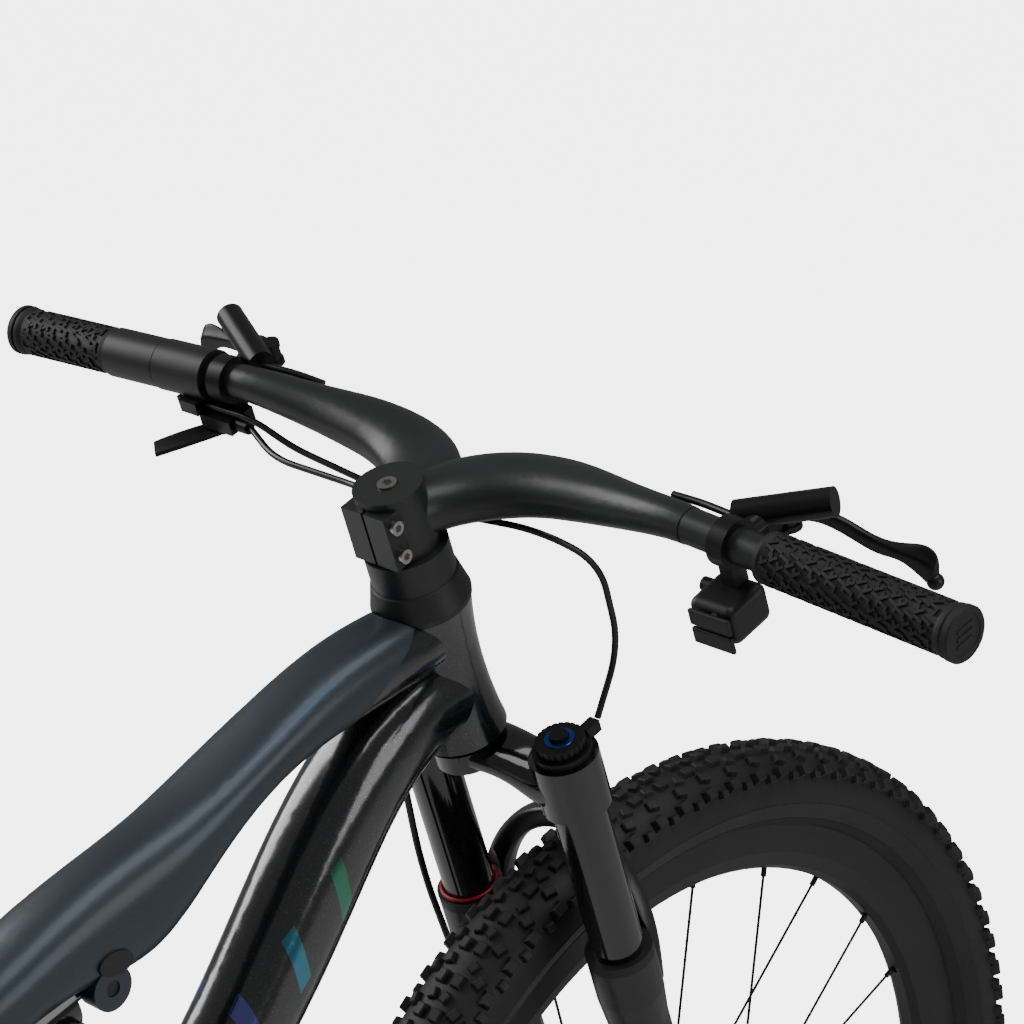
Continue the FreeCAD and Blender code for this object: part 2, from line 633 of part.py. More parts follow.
def socket_bolt(at, axis, head=4.6, shank=2.9, length=18.0):
    """A cylinder-head bolt with a hexagon socket; axis points out of the head."""
    axis = axis.normalize()
    body = Part.makeCylinder(head, 4, at, axis).fuse(Part.makeCylinder(shank, length, at - axis * length, axis))
    corners = [polar(head * 0.56, k * math.pi / 3, 0) for k in range(7)]
    key = Part.Face(Part.makePolygon(corners)).extrude(Z * 3)
    key.Placement = turned(axis, at + axis * 1.6)
    return body.cut(key).removeSplitter()


bolts = [
    socket_bolt(Vector(-18.5, -18.1, STEM_LOW + 10), Vector(0, -1, 0), length=30),
    socket_bolt(Vector(-18.5, -18.1, STEM_HIGH - 10), Vector(0, -1, 0), length=30),
    socket_bolt(Vector(0, 0, STEM_HIGH + 1.2), Vector(0, 0, 1), head=6.2, shank=3, length=20),
]
group("cockpit_bolts", bolts, STEER)

group("grips", [
    along_bar(251, -1, size("grip_radius"), 137.2, 11.12),
    along_bar(302.5, 1, size("grip_radius"), 85.7, 11.12),
    along_bar(388.6, -1, 17, 5), along_bar(388.6, 1, 17, 5),
], STEER)

collar = fused([along_bar(212, 1, 17, 43, 11.12), along_bar(254, 1, 13, 47.5, 11.12),
                block(on_bar(226, 1) + Vector(-8, 0, -17), (20, 16, 9))])
button_axis = Vector(0, 0, 1)
collar = collar.cut(Part.makeCylinder(3.55, 12, on_bar(243, 1) + Vector(0, 0, -24), Z))
collar = collar.cut(Part.makeCompound([along_bar(200, 1, 11.12, 120), block(on_bar(243, 1) + Vector(0, 0, -19), (18, 16, 5.5))]))
keep("lockout_housing", collar, STEER)
button = Part.makeCylinder(3.5, 3.6, on_bar(243, 1) + Vector(0, 0, -20), Z)
button = button.fuse(block(on_bar(243, 1) + Vector(0, 0, -21.4), (14, 12, 3))).removeSplitter()
keep("lockout_button", button, STEER)
twist = along_bar(256, 1, 16.5, 45.5, 13.05)
keep("lockout_twist_sleeve", twist, STEER)

BRAKE_AT = {"left": 200, "right": 222}


def brake_point(name, outward, forward, up):
    """A point by the brake clamp: outward along the bar, forward of it and above it."""
    return on_bar(BRAKE_AT[name], SIDES[name]) + Vector(forward, SIDES[name] * outward, up)


def brake_body(name):
    clamp = along_bar(BRAKE_AT[name] - 6, SIDES[name], 15.5, 12, 11.14)
    inboard, outboard = brake_point(name, -12, 19.5, 2.5), brake_point(name, 42, 46, 10)
    cylinder_body = round_bar(inboard, outboard, 9)
    arm = round_bar(brake_point(name, 0, 10, 0.3), brake_point(name, 7, 30, 4.1), 6)
    pivot = brake_point(name, 6, 43, 0)
    ears = [Part.makeCylinder(7, 4, pivot + Z * low) for low in (-17.2, -4.3)]
    web = block(brake_point(name, 2, 29.7, -8.7), (12.4, 11, 17))
    ears += [block(brake_point(name, 5, 36, low), (14, 9, 4)) for low in (-15.2, -2.3)]
    pin = Part.makeCylinder(3, 16, pivot - Z * 17)
    bore = Part.makeCylinder(11.14, 60, Z * -30)
    bore.Placement = bar_place(BRAKE_AT[name], SIDES[name])
    return fused([clamp, cylinder_body, arm, web, pin] + ears).cut(bore)


right_brake = brake_body("right")
left_brake = right_brake.mirror(Vector(), Y)
left_brake.translate(on_bar(BRAKE_AT["left"], 1) - on_bar(BRAKE_AT["right"], 1))
group("brake_bodies", [Part.makeCompound([left_brake]).Solids[0], right_brake], STEER)


def brake_blade(name):
    pivot = brake_point(name, 6, 43, 0)
    eye = Part.makeCylinder(6, 8.4, pivot - Z * 13)
    line = [brake_point(name, 6, 43, -8.8), brake_point(name, 11, 46, -8.8), brake_point(name, 17, 49.5, -9.4),
            brake_point(name, 30, 55, -14), brake_point(name, 58, 58, -25), brake_point(name, 95, 57, -38)]
    blade = lofted(line, [(3, 3.2), (3, 3.2), (3, 3.6), (3, 5), (3, 5.5), (3.2, 5)], across=X, power=3)
    blade = fused([eye, blade, Part.makeSphere(5.2, line[-1])])
    return blade.cut(Part.makeCylinder(3 + RUN, 30, pivot - Z * 22))


for name in SIDES:
    keep(f"brake_blade_{name}", brake_blade(name), STEER)

remote_hub = on_bar(200, 1) + Vector(-8, 8, -30)
remote = fused([
    block(on_bar(200, 1) + Vector(-8, 3.2, -25), (22, 28.4, 10)), block(on_bar(200, 1) + Vector(0, 0, -16), (10, 10, 12)),
    round_bar(on_bar(200, 1) + Vector(-12, -22, -25), on_bar(200, 1) + Vector(-12, -4, -25), 4.5),
    Part.makeCylinder(4, 14, remote_hub - Z * 8),
])
remote = remote.cut(along_bar(190, 1, 15.6, 20))
keep("dropper_remote", remote, STEER)
paddle = fused([
    Part.makeCylinder(8, 4, remote_hub - Z * 5.5),
    lofted([remote_hub + Vector(-4, 2, -3.5), remote_hub + Vector(-22, 16, -4), remote_hub + Vector(-38, 30, -6)],
           [(8, 1.9), (9, 2), (8, 2)], across=Vector(0.6, 0.8, 0), power=4),
])
keep("dropper_paddle", paddle.cut(Part.makeCylinder(4 + RUN, 30, remote_hub - Z * 15)), STEER)

pod_centre = on_bar(222, -1) + Vector(-13, 0, -38)
pod = block(pod_centre, (34, 34, 26))
pod = pod.makeFillet(6, pod.Edges)
pod = pod.fuse(fused([
    block(on_bar(222, -1) + Vector(-4, 0, -19), (12, 10, 14)),
    Part.makeCylinder(4.5, 9, pod_centre + Vector(8, 16, 4), Y),
])).removeSplitter()
BUTTONS = {"shift_button_up": 6.5, "shift_button_down": -6.5}
pod = pod.cut(Part.makeCompound(
    [Part.makeCylinder(3 + RUN, 12, pod_centre + Vector(-20, -4, up), X) for up in BUTTONS.values()]
    + [along_bar(210, -1, 15.6, 24)]
))
keep("shift_pod", pod, STEER)
for label, up in BUTTONS.items():
    face = block(pod_centre + Vector(-21.8, -4, up), (3, 30, 11))
    face = face.makeFillet(1.2, face.Edges)
    stalk = Part.makeCylinder(3, 8, pod_centre + Vector(-21, -4, up), X)
    keep(label, face.fuse(stalk).removeSplitter(), STEER)

collar_exit = on_bar(226, 1) + Vector(-9.5, -8.2, -17)
cables = [
    routed([collar_exit, Vector(collar_exit.x, 172, collar_exit.z), on_bar(140, 1) + Vector(-18, 0, -24),
            Vector(44, 30, 644), Vector(60, -52, 641), Vector(84, -72, 606), Vector(83, -71, 542),
            LEG["right"] + Vector(30.4, -4, cap_top + 6.6)], 2.2),
    routed([on_bar(200, 1) + Vector(-12, -23.4, -25), on_bar(140, 1) + Vector(-34, 0, -22), Vector(26, 62, 663),
            Vector(17, 30.5, 670)], 2.2),
    routed([brake_point("left", -13.7, 18.6, 2.3), brake_point("left", -40, 22, 1), on_bar(138, 1) + Vector(19, 0, 2)], 2.4),
    routed([brake_point("right", -13.7, 18.6, 2.3), brake_point("right", -40, 22, 1), on_bar(160, -1) + Vector(17.5, 0, 2)], 2.4),
]
group("cockpit_cables", cables, STEER)
hose = routed([Vector(-8, LEG_Y - 3, 454), Vector(-16, LEG_Y - 3, 380), Vector(-9.5, LEG_Y - 3, 250),
               Vector(-10, LEG_Y - 3, 150), Vector(-14, LEG_Y - 6, 98)], 2.4)
keep("front_brake_hose", hose, STEER)

# --- front frame --------------------------------------------------------------------------------


def pt(x, z, y=0.0):
    """A point in side view, measured from the bottom bracket's position along and up."""
    return Vector(CRANK_CENTRE.x + x, y, CRANK_CENTRE.z + z)


HEAD_LOW, HEAD_HIGH = size("head_bottom"), size("head_top")
head_tube = Part.makeLoft([
    oval(steer(level), STEER_FORWARD, Y, radius, radius)
    for level, radius in ((HEAD_LOW, 30), (HEAD_LOW + 26, 27), (HEAD_LOW + 62, 26.5), (HEAD_HIGH, 31))
], True, False)
DOWN_LINE = [pt(484, 526), pt(416, 492), pt(372, 434), pt(309, 337), pt(243, 258), pt(122, 128), pt(4, 6)]
DOWN_HALF = [(26, 27), (29, 31), (30, 33), (29, 31), (28, 30), (29, 31), (31, 30)]
TOP_LINE = [pt(466, 570), pt(424, 559), pt(372, 544), pt(314, 518), pt(270, 489.5), pt(216, 455), pt(164, 440),
            pt(92, 409), pt(22, 388), pt(-46, 370), pt(-70, 364)]
TOP_HALF = [(24, 22), (26, 23), (26.5, 21.5), (27.5, 17), (28.5, 22), (29, 34.5), (29, 28), (27, 22), (24, 20),
            (22, 20), (20, 20)]
down_tube = lofted(DOWN_LINE, DOWN_HALF, power=2.5)
top_tube = lofted(TOP_LINE, TOP_HALF, power=2.6)
seat_tube = round_bar(SEAT_TUBE_BASE, SEAT_TUBE_TOP, size("seat_tube_radius"))
shell = Part.makeCylinder(size("shell_radius"), 2 * size("shell_half_width"),
                          CRANK_CENTRE - Y * size("shell_half_width"), Y)
yoke = hole(SHOCK_FRONT, Y, 14, 27)
frame = fused([
    head_tube, down_tube, top_tube, seat_tube, shell, yoke,
    hole(MAIN_PIVOT, Y, 14, 35.5), hole(ROCKER_PIVOT, Y, 12, 24.5),
    lofted([pt(40, 60), MAIN_PIVOT + Vector(-2, 0, 0)], [(28, 26), (24, 13)]),
    lofted([CRANK_CENTRE, pt(42, 56)], [(30, 22), (26, 24)]),
    lofted([ROCKER_PIVOT, ROCKER_PIVOT + SEAT_UP * 2 + Vector(-16, 0, -6)], [(16, 11), (12, 11)]),
])


def shock_at(back, left=0.0, up=0.0):
    """A point along the shock from its front eye."""
    return SHOCK_FRONT + SHOCK_BACK * back + Y * left + SHOCK_BACK.cross(Y) * -up


trough = round_bar(shock_at(17), shock_at(262), 26)
down_zone = block(pt(238, 250), (330, 200, 600))
top_zone = block(pt(320, 500), (190, 200, 400))
down_hollow = lofted(DOWN_LINE, DOWN_HALF, power=2.5, grow=-2.6).common(down_zone)
top_hollow = lofted(TOP_LINE, TOP_HALF, power=2.6, grow=-2.6).common(top_zone)
openings = [
    hole(steer((HEAD_LOW + HEAD_HIGH) / 2), STEER_UP, 22, 60),
    Part.makeCylinder(size("post_radius") + 0.02, 245, seat(-244), SEAT_UP),
    Part.makeCylinder(12.5, 150, seat(-393), SEAT_UP),
    hole(CRANK_CENTRE, Y, 20, 60), hole(MAIN_PIVOT, Y, 7 + RUN, 60), hole(ROCKER_PIVOT, Y, 6 + RUN, 60),
    hole(SHOCK_FRONT, Y, 5.02, 60), hole(SHOCK_FRONT, Y, 16, 13.6), trough, down_hollow,
    top_hollow.cut(Part.makeCompound([hole(SHOCK_FRONT, Y, 19, 60), round_bar(shock_at(10), shock_at(262), 29)])),
    round_bar(steer(480), steer(HEAD_LOW - 3.4), 42), round_bar(steer(HEAD_HIGH + 0.1), steer(HEAD_HIGH + 30), 32.6),
    round_bar(shock_at(-14), shock_at(14), 2).fuse(block(shock_at(11), (18, 27.2, 34), Rotation(X, SHOCK_BACK))),
]
frame = frame.cut(Part.makeCompound(openings))
boss_line = (DOWN_LINE[4] - DOWN_LINE[5]).normalize()
boss_up = Vector(-boss_line.z, 0, boss_line.x)
bosses = []
for share in (-32, 32):
    foot = (DOWN_LINE[4] + DOWN_LINE[5]) * 0.5 + boss_line * share + boss_up * 25
    bosses.append(Part.makeCylinder(6, 9, foot, boss_up).cut(Part.makeCylinder(2.5, 20, foot - boss_up, boss_up)))
frame = frame.cut(Part.makeCompound([
    Part.makeCylinder(2.5, 40, (DOWN_LINE[4] + DOWN_LINE[5]) * 0.5 + boss_line * share + boss_up * 20, boss_up)
    for share in (-32, 32)
])).fuse(bosses).removeSplitter()
keep("front_frame", main_solid(frame))

bearings = [
    round_bar(steer(level), steer(level + 8), 21.95, size("steerer_radius") + RUN)
    for level in (HEAD_LOW + 4, HEAD_HIGH - 12)
]
bearings += [
    hole(CRANK_CENTRE + Y * side * 42, Y, 19.95, 3.5).cut(hole(CRANK_CENTRE + Y * side * 42, Y, 12 + RUN, 10))
    for side in SIDES.values()
]
group("frame_bearings", bearings)
plug = lofted([pt(190, 434, -25), pt(190, 434, -30.2)], [(13, 8), (12.5, 7.5)], across=X)
bolt = hole(SHOCK_FRONT, Y, 5, 26)
group("shock_bolt_cover", [plug.cut(frame), bolt])
collar = round_bar(seat(-14), seat(1.5), 21, size("seat_tube_radius") + 0.03).fuse(
    block(seat(-6) + Vector(-23, 0, -6), (10, 14, 14), Rotation(Z, SEAT_UP)))
collar = collar.cut(Part.makeCompound([round_bar(seat(-40), seat(30), size("seat_tube_radius") + 0.03),
                                       block(seat(-6) + Vector(-26, 0, -6), (22, 2, 40), Rotation(Z, SEAT_UP))]))
keep("seat_collar", collar)
outer_post = round_bar(seat(-230), seat(22), size("post_radius")).fuse(round_bar(seat(22), seat(38), 18))
keep("dropper_outer_tube", outer_post.cut(round_bar(seat(-231), seat(39), size("post_inner_radius") + RUN)))
inner_post = fused([
    round_bar(seat(-70), seat(38.5), size("post_inner_radius") - 0.05, 9),
    round_bar(seat(38.5), seat(196), size("post_inner_radius"), 9),
    block(seat(201), (26, 34, 16), Rotation(Z, SEAT_UP)),
])
keep("dropper_inner_post", inner_post)

# --- saddle -------------------------------------------------------------------------------------

SADDLE = seat(214)
rails = []
for side in SIDES.values():
    line = [SADDLE + Vector(-92, side * 38, 22), SADDLE + Vector(-62, side * 24, 3), SADDLE + Vector(52, side * 22, 3),
            SADDLE + Vector(122, side * 10, 24)]
    rails.append(routed(line, 3.5, 0.3))
clamp = block(SADDLE + Z * 3, (34, 62, 9)).cut(Part.makeCompound(rails))
group("saddle_rails", rails + [clamp.cut(inner_post)])
pad_line = [SADDLE + Vector(x, 0, z) for x, z in (
    (-128, 46), (-112, 45), (-70, 40), (-10, 36), (50, 35), (110, 36), (140, 34))]
pad_half = [(46, 6), (68, 13), (72, 15), (44, 15), (26, 14), (20, 12), (9, 6)]
pad = lofted(pad_line, pad_half, power=2.4)
keep("saddle_pad", pad.cut(Part.makeCompound(rails)))

# --- rear suspension ----------------------------------------------------------------------------


def from_crank(x, y, z):
    return Vector(CRANK_CENTRE.x + x, y, CRANK_CENTRE.z + z)


def chainstay(side):
    line = [(10.5, 41.8, 75), (-60, 41.8, 64), (-140, 42, 52), (-215, 45, 46), (-290, 57, 42), (-345, 69, 41),
            (-390, 77, 41), (-437, 80, 42)]
    halves = [(5.4, 15), (5.4, 15), (5.4, 14), (5.4, 13), (5.8, 12), (5.6, 12), (5, 13), (4.6, 14)]
    points = [from_crank(x, side * y, z) for x, y, z in line]
    stay = lofted(points, halves, power=2.6)
    inner, outer = side * 36.2, side * 47.2
    eye = Part.makeCylinder(17, 11, MAIN_PIVOT + Y * min(inner, outer), Y)
    low = min(side * 74.4, side * 85)
    drop = Part.makeCylinder(17, 10.6, REAR_AXLE + Y * low, Y)
    ear = Part.makeCylinder(12, 10, SEATSTAY_PIVOT + Y * min(side * 71.5, side * 81.5), Y)
    pin = Part.makeCylinder(5, 20, SEATSTAY_PIVOT + Y * min(side * 73, side * 93), Y)
    neck = block(SEATSTAY_PIVOT + Vector(0, side * 76.3, -14), (17, 8.6, 27))
    return [stay, eye, drop, ear, neck, pin]


stays = []
for side in SIDES.values():
    stays += chainstay(side)
bridge = round_bar(from_crank(-42, -38, 68), from_crank(-42, 38, 68), 8)
chainstays = fused(stays + [bridge])
chainstays = chainstays.cut(Part.makeCompound([
    hole(REAR_AXLE, Y, 6.02, 120), hole(REAR_AXLE, Y, 12, 74.3), hole(MAIN_PIVOT, Y, 7.02, 120),
]))
pivot_axle = hole(MAIN_PIVOT, Y, 7, 48.5)
group("chainstays", [main_solid(chainstays), pivot_axle])
group("rear_axle", [fused([hole(REAR_AXLE, Y, 6, 85.2),
                           Part.makeCylinder(9, 4, REAR_AXLE + Y * 85.2, Y),
                           Part.makeCylinder(9, 4, REAR_AXLE - Y * 89.2, Y)])])


def seatstay(side):
    line = [(-132.5, 38.5, 323), (-190, 43, 268), (-270, 54, 182), (-345, 78, 108), (-382.5, 87.3, 68)]
    halves = [(5.5, 11), (5.5, 9), (5.5, 9), (5, 9), (4.4, 11)]
    stay = lofted([from_crank(x, side * y, z) for x, y, z in line], halves, power=2.4)
    top = Part.makeCylinder(11.5, 11.4, SEATSTAY_TOP + Y * min(side * 32.4, side * 43.8), Y)
    foot = Part.makeCylinder(12, 8.6, SEATSTAY_PIVOT + Y * min(side * 83, side * 91.6), Y)
    return [stay, top, foot]


stays = []
for side in SIDES.values():
    stays += seatstay(side)
brace_at = SEATSTAY_TOP + (SEATSTAY_PIVOT - SEATSTAY_TOP).normalize() * 25
seatstays = fused(stays + [hole(brace_at, Y, 5, 40)])
seatstays = seatstays.cut(Part.makeCompound([
    hole(SEATSTAY_TOP, Y, 6.6, 120), hole(SEATSTAY_TOP, Y, 13, 31.9),
    hole(SEATSTAY_PIVOT, Y, 5 + RUN, 120), hole(SEATSTAY_PIVOT, Y, 14, 82.4),
]))
keep("seatstays", main_solid(seatstays))

link_parts = [hole(ROCKER_PIVOT, Y, 6, 31), hole(SHOCK_REAR, Y, 4, 31)]
for side in SIDES.values():
    base = min(side * 25.1, side * 31)
    corners = [ROCKER_PIVOT, SEATSTAY_TOP, SHOCK_REAR]
    face = Part.Face(Part.makePolygon([c + Y * base for c in corners] + [corners[0] + Y * base]))
    link_parts.append(face.extrude(Y * 5.9))
    for a, b, radius in ((0, 1, 8), (1, 2, 8), (2, 0, 9)):
        span = corners[b] - corners[a]
        bar_box = Part.makeBox(span.Length, 2 * radius, 5.9, Vector(0, -radius, 0))
        bar_box.Placement = Placement(corners[a] + Y * base, Rotation(span, Vector(), Y, "ZXY"))
        link_parts.append(bar_box)
    link_parts += [Part.makeCylinder(11, 5.9, c + Y * base, Y) for c in corners]
    link_parts.append(Part.makeCylinder(4, 14, SEATSTAY_TOP + Y * min(side * 31, side * 45), Y))
rocker = fused(link_parts)
window = (ROCKER_PIVOT + SEATSTAY_TOP + SHOCK_REAR) * (1 / 3)
keep("rocker_link", rocker.cut(hole(window, Y, 13, 50)))

can = fused([
    hole(SHOCK_FRONT, Y, 12, 13), round_bar(shock_at(6), shock_at(26), 11), round_bar(shock_at(21), shock_at(58), 22),
    round_bar(shock_at(57), shock_at(150), 20.5), round_bar(shock_at(140), shock_at(154), 22),
    round_bar(shock_at(32, -19, -7), shock_at(32, -30, -7), 6.5),
])
keep("shock_can", can.cut(Part.makeCompound([
    round_bar(shock_at(55), shock_at(160), 12.5 + RUN), hole(SHOCK_FRONT, Y, 5 + RUN, 60)])))
shaft = fused([
    round_bar(shock_at(98), shock_at(216), 12.5), hole(SHOCK_REAR, Y, 9.8, 11), block(shock_at(221), (16, 18, 14), Rotation(X, SHOCK_BACK)),
])
keep("shock_shaft", shaft.cut(hole(SHOCK_REAR, Y, 7, 40)))

# --- drivetrain ---------------------------------------------------------------------------------


def sprocket(teeth, radius, thick, height, bore):
    """A toothed plate: a disc with rounded notches between pointed teeth."""
    disc = Part.makeCylinder(radius + 2.6, thick, Z * height)
    notches = [
        Part.makeCylinder(3.7, thick + 2, polar(radius + 1.6, 2 * math.pi * k / teeth, height - 1))
        for k in range(teeth)
    ]
    return disc.cut(Part.makeCompound(notches + [Part.makeCylinder(bore, thick + 2, Z * (height - 1))]))


def pitch_radius(teeth):
    return 12.7 / (2 * math.sin(math.pi / teeth))


CHAIN_LINE = size("chain_line")
COGS = (10, 12, 14, 16, 18, 21, 24, 28, 32, 38, 44, 52)
COG_SPACING = size("cog_spacing")
cassette = []
for index, teeth in enumerate(COGS):
    height = -70.5 + index * COG_SPACING
    outer = pitch_radius(teeth)
    cassette.append(sprocket(teeth, outer, 1.5, height, 17 + RUN if teeth > 10 else 14))
    if index:
        spacer = Part.makeCylinder(19.4, COG_SPACING, Z * (height - 2))
        cassette.append(spacer.cut(Part.makeCylinder(17 + RUN, 6, Z * (height - 3))))
cassette_solid = fused(cassette).cut(Part.makeCylinder(17 + RUN, 40, Z * -71.6))
keep("cassette", cassette_solid, Placement(REAR_AXLE, SIDE_ON))

ring_radius = pitch_radius(34)
ring_plate = sprocket(34, ring_radius, 2, -CHAIN_LINE - 1, 46)
ring_arms = [round_bar(polar(14, a, -CHAIN_LINE), polar(49, a, -CHAIN_LINE), 3.4) for a in [k * math.pi / 2 + 0.4 for k in range(4)]]


def crank_arm(side):
    direction = X * (1 if side < 0 else -1)
    root, tip = Y * side * 66, direction * size("crank_length") + Y * side * 76
    arm = lofted([root - direction * 2, direction * 50 + Y * side * 69, direction * 120 + Y * side * 74, tip],
                 [(7, 17), (7, 15), (6.5, 12), (6.5, 13)], power=2.6)
    return [arm, hole(root, Y, 18, 8), hole(tip, Y, 14, 7)]


crank_parts = [hole(Vector(), Y, 12, 62)]
for side in SIDES.values():
    crank_parts += crank_arm(side)
crank_flat = fused(crank_parts)
ring_solid = fused([ring_plate, Part.makeCylinder(20, 7, Z * (-CHAIN_LINE - 4.5)).cut(Part.makeCylinder(11.5, 20, Z * (-CHAIN_LINE - 10)))] + ring_arms)
ring_solid.Placement = Placement(Vector(), SIDE_ON)
crank = crank_flat.fuse(ring_solid)
threads = []
for side in SIDES.values():
    tip = X * (-side * size("crank_length")) + Y * side * 76
    threads.append(hole(tip, Y, 6 + RUN, 20))
crank = crank.cut(Part.makeCompound(threads))
keep("crankset", crank, Placement(CRANK_CENTRE, Rotation()))


def pedal(side):
    """A flat pedal with a window each side of its axle and short pins."""
    centre = CRANK_CENTRE + X * (-side * size("crank_length")) + Y * side * 135
    plate = block(centre, (98, 94, 14))
    plate = plate.makeFillet(6, [e for e in plate.Edges if abs(e.Length - 14) < 0.01])
    plate = plate.cut(Part.makeCompound([block(centre + X * off, (26, 66, 30)) for off in (-26, 26)]))
    pins = [
        Part.makeCylinder(1.6, 4, centre + Vector(a * 42, b * 40 * k, 6.5 * up), Z * up)
        for a in (-1, 1) for b in (-1, 1) for k in (1, 0.35) for up in (-1, 1)
    ]
    axle = round_bar(CRANK_CENTRE + X * (-side * size("crank_length")) + Y * side * 70, centre, 6)
    axle = axle.fuse(round_bar(centre - Y * side * 51.5, centre - Y * side * 47, 9))
    return fused([plate, axle] + pins)


keep("pedal_left", pedal(1))
keep("pedal_right", pedal(-1))

GUIDE = REAR_AXLE + Vector(18, -CHAIN_LINE, -134)
TENSION = REAR_AXLE + Vector(42, -CHAIN_LINE, -222)
knuckle = REAR_AXLE + Vector(14, -90, -64)
derailleur = fused([
    lofted([REAR_AXLE + Vector(0, -92, -4), REAR_AXLE + Vector(6, -93, -34), knuckle], [(5, 14), (5, 12), (6, 13)], across=Y),
    hole(knuckle, Y, 15, 8),
    lofted([knuckle, REAR_AXLE + Vector(16, -86, -100), Vector(GUIDE.x, -76, GUIDE.z)], [(8, 13), (8, 12), (6, 15)], across=Y),
    hole(Vector(GUIDE.x, -76, GUIDE.z), Y, 17, 8),
])
derailleur = derailleur.cut(Part.makeCompound([hole(REAR_AXLE, Y, 14, 86.6), hole(REAR_AXLE, Y, 9.4, 120),
                                               hole(Vector(GUIDE.x, -76, GUIDE.z), Y, 5 + RUN, 20)]))
keep("derailleur", derailleur)
cage_plates = []
for y in (-CHAIN_LINE - 8.5, -CHAIN_LINE + 6):
    a, b = Vector(GUIDE.x, y, GUIDE.z), Vector(TENSION.x, y, TENSION.z)
    span = b - a
    bar_box = Part.makeBox(span.Length, 18, 2, Vector(0, -9, 0))
    bar_box.Placement = Placement(a, Rotation(span, Vector(), Y, "ZXY"))
    cage_plates += [bar_box, Part.makeCylinder(14, 2, a, Y), Part.makeCylinder(13, 2, b, Y)]
wheels = [hole(GUIDE, Y, pitch_radius(12) - 3, 1.6), hole(TENSION, Y, pitch_radius(14) - 3, 1.6),
          hole(GUIDE, Y, 4, 9), hole(TENSION, Y, 4, 9), round_bar(Vector(GUIDE.x, -60.6, GUIDE.z), Vector(GUIDE.x, -83, GUIDE.z), 5)]
keep("derailleur_cage", fused(cage_plates + wheels))


def belt(circles):
    """A closed path round circles given as (centre, radius, turning sense) in side view."""
    contacts = []
    for (c1, r1, s1), (c2, r2, s2) in zip(circles, circles[1:] + circles[:1]):
        span = Vector(c2.x - c1.x, 0, c2.z - c1.z)
        lean = math.atan2(span.z, span.x) + math.acos((s2 * r2 - s1 * r1) / span.Length)
        normal = Vector(math.cos(lean), 0, math.sin(lean))
        contacts.append((c1 - normal * (s1 * r1), c2 - normal * (s2 * r2)))
    edges = []
    for index, (circle, (leave, _)) in enumerate(zip(circles, contacts)):
        centre, radius, sense = circle
        arrive = contacts[index - 1][1]
        a0 = math.atan2(arrive.z - centre.z, arrive.x - centre.x)
        a1 = math.atan2(leave.z - centre.z, leave.x - centre.x)
        sweep = (a1 - a0) * sense % (2 * math.pi)
        mid = a0 + sense * sweep / 2
        middle = centre + Vector(math.cos(mid), 0, math.sin(mid)) * radius
        edges.append(Part.Arc(arrive, middle, leave).toShape())
        edges.append(Part.makeLine(leave, contacts[index][1]))
    return edges


flat = Y * -CHAIN_LINE
chain_circles = [
    (CRANK_CENTRE + flat, ring_radius + 5, 1), (REAR_AXLE + flat, pitch_radius(COGS[6]) + 5, 1),
    (GUIDE, pitch_radius(12) + 1, -1), (TENSION, pitch_radius(14) + 1, 1),
]
links = []
for edge in belt(chain_circles):
    along = edge.tangentAt(edge.FirstParameter)
    start = edge.valueAt(edge.FirstParameter)
    side_way = along.cross(Y).normalize()
    corners = [start + side_way * a + Y * b for a, b in ((-2.2, -1.9), (2.2, -1.9), (2.2, 1.9), (-2.2, 1.9))]
    section = Part.makePolygon(corners + corners[:1])
    links.append(Part.Wire([edge]).makePipeShell([section], True, True))
keep("chain", fused(links))

# --- checks and files ---------------------------------------------------------------------------

doc.recompute()
os.makedirs("parts", exist_ok=True)
for thing in doc.Objects:
    if "Invalid" in thing.State or "Error" in thing.State:
        raise ValueError(f"{thing.Label} did not compute: {thing.State}")
broken = [label for label, thing in nodes.items() if thing.Shape.isNull() or not thing.Shape.isValid()]
if broken:
    raise ValueError(f"these have no valid shape: {broken}")
for label, thing in nodes.items():
    shape = thing.Shape
    shape.exportStep(os.path.join("parts", label + ".step"))
    box = shape.BoundBox
    print(f"{label}: {len(shape.Solids)} solids, {shape.Volume / 1000:.1f} cm3, x {box.XMin:.0f}..{box.XMax:.0f}, "
          f"y {box.YMin:.0f}..{box.YMax:.0f}, z {box.ZMin:.0f}..{box.ZMax:.0f}")
print(f"{len(nodes)} sub-parts written")
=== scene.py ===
import math
import random

import bmesh
import bpy
from mathutils import Matrix, Vector


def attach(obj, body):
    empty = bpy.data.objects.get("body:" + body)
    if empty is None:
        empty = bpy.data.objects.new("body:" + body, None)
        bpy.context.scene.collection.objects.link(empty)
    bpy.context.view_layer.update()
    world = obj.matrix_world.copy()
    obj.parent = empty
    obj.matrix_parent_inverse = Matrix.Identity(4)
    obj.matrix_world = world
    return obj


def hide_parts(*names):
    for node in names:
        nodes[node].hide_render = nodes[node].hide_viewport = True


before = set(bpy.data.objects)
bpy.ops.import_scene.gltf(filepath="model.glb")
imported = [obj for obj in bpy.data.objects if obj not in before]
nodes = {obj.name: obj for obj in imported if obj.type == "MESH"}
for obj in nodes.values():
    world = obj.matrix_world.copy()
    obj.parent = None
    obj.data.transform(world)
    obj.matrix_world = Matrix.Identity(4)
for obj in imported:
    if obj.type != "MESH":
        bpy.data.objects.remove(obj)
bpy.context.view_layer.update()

random.seed(7)

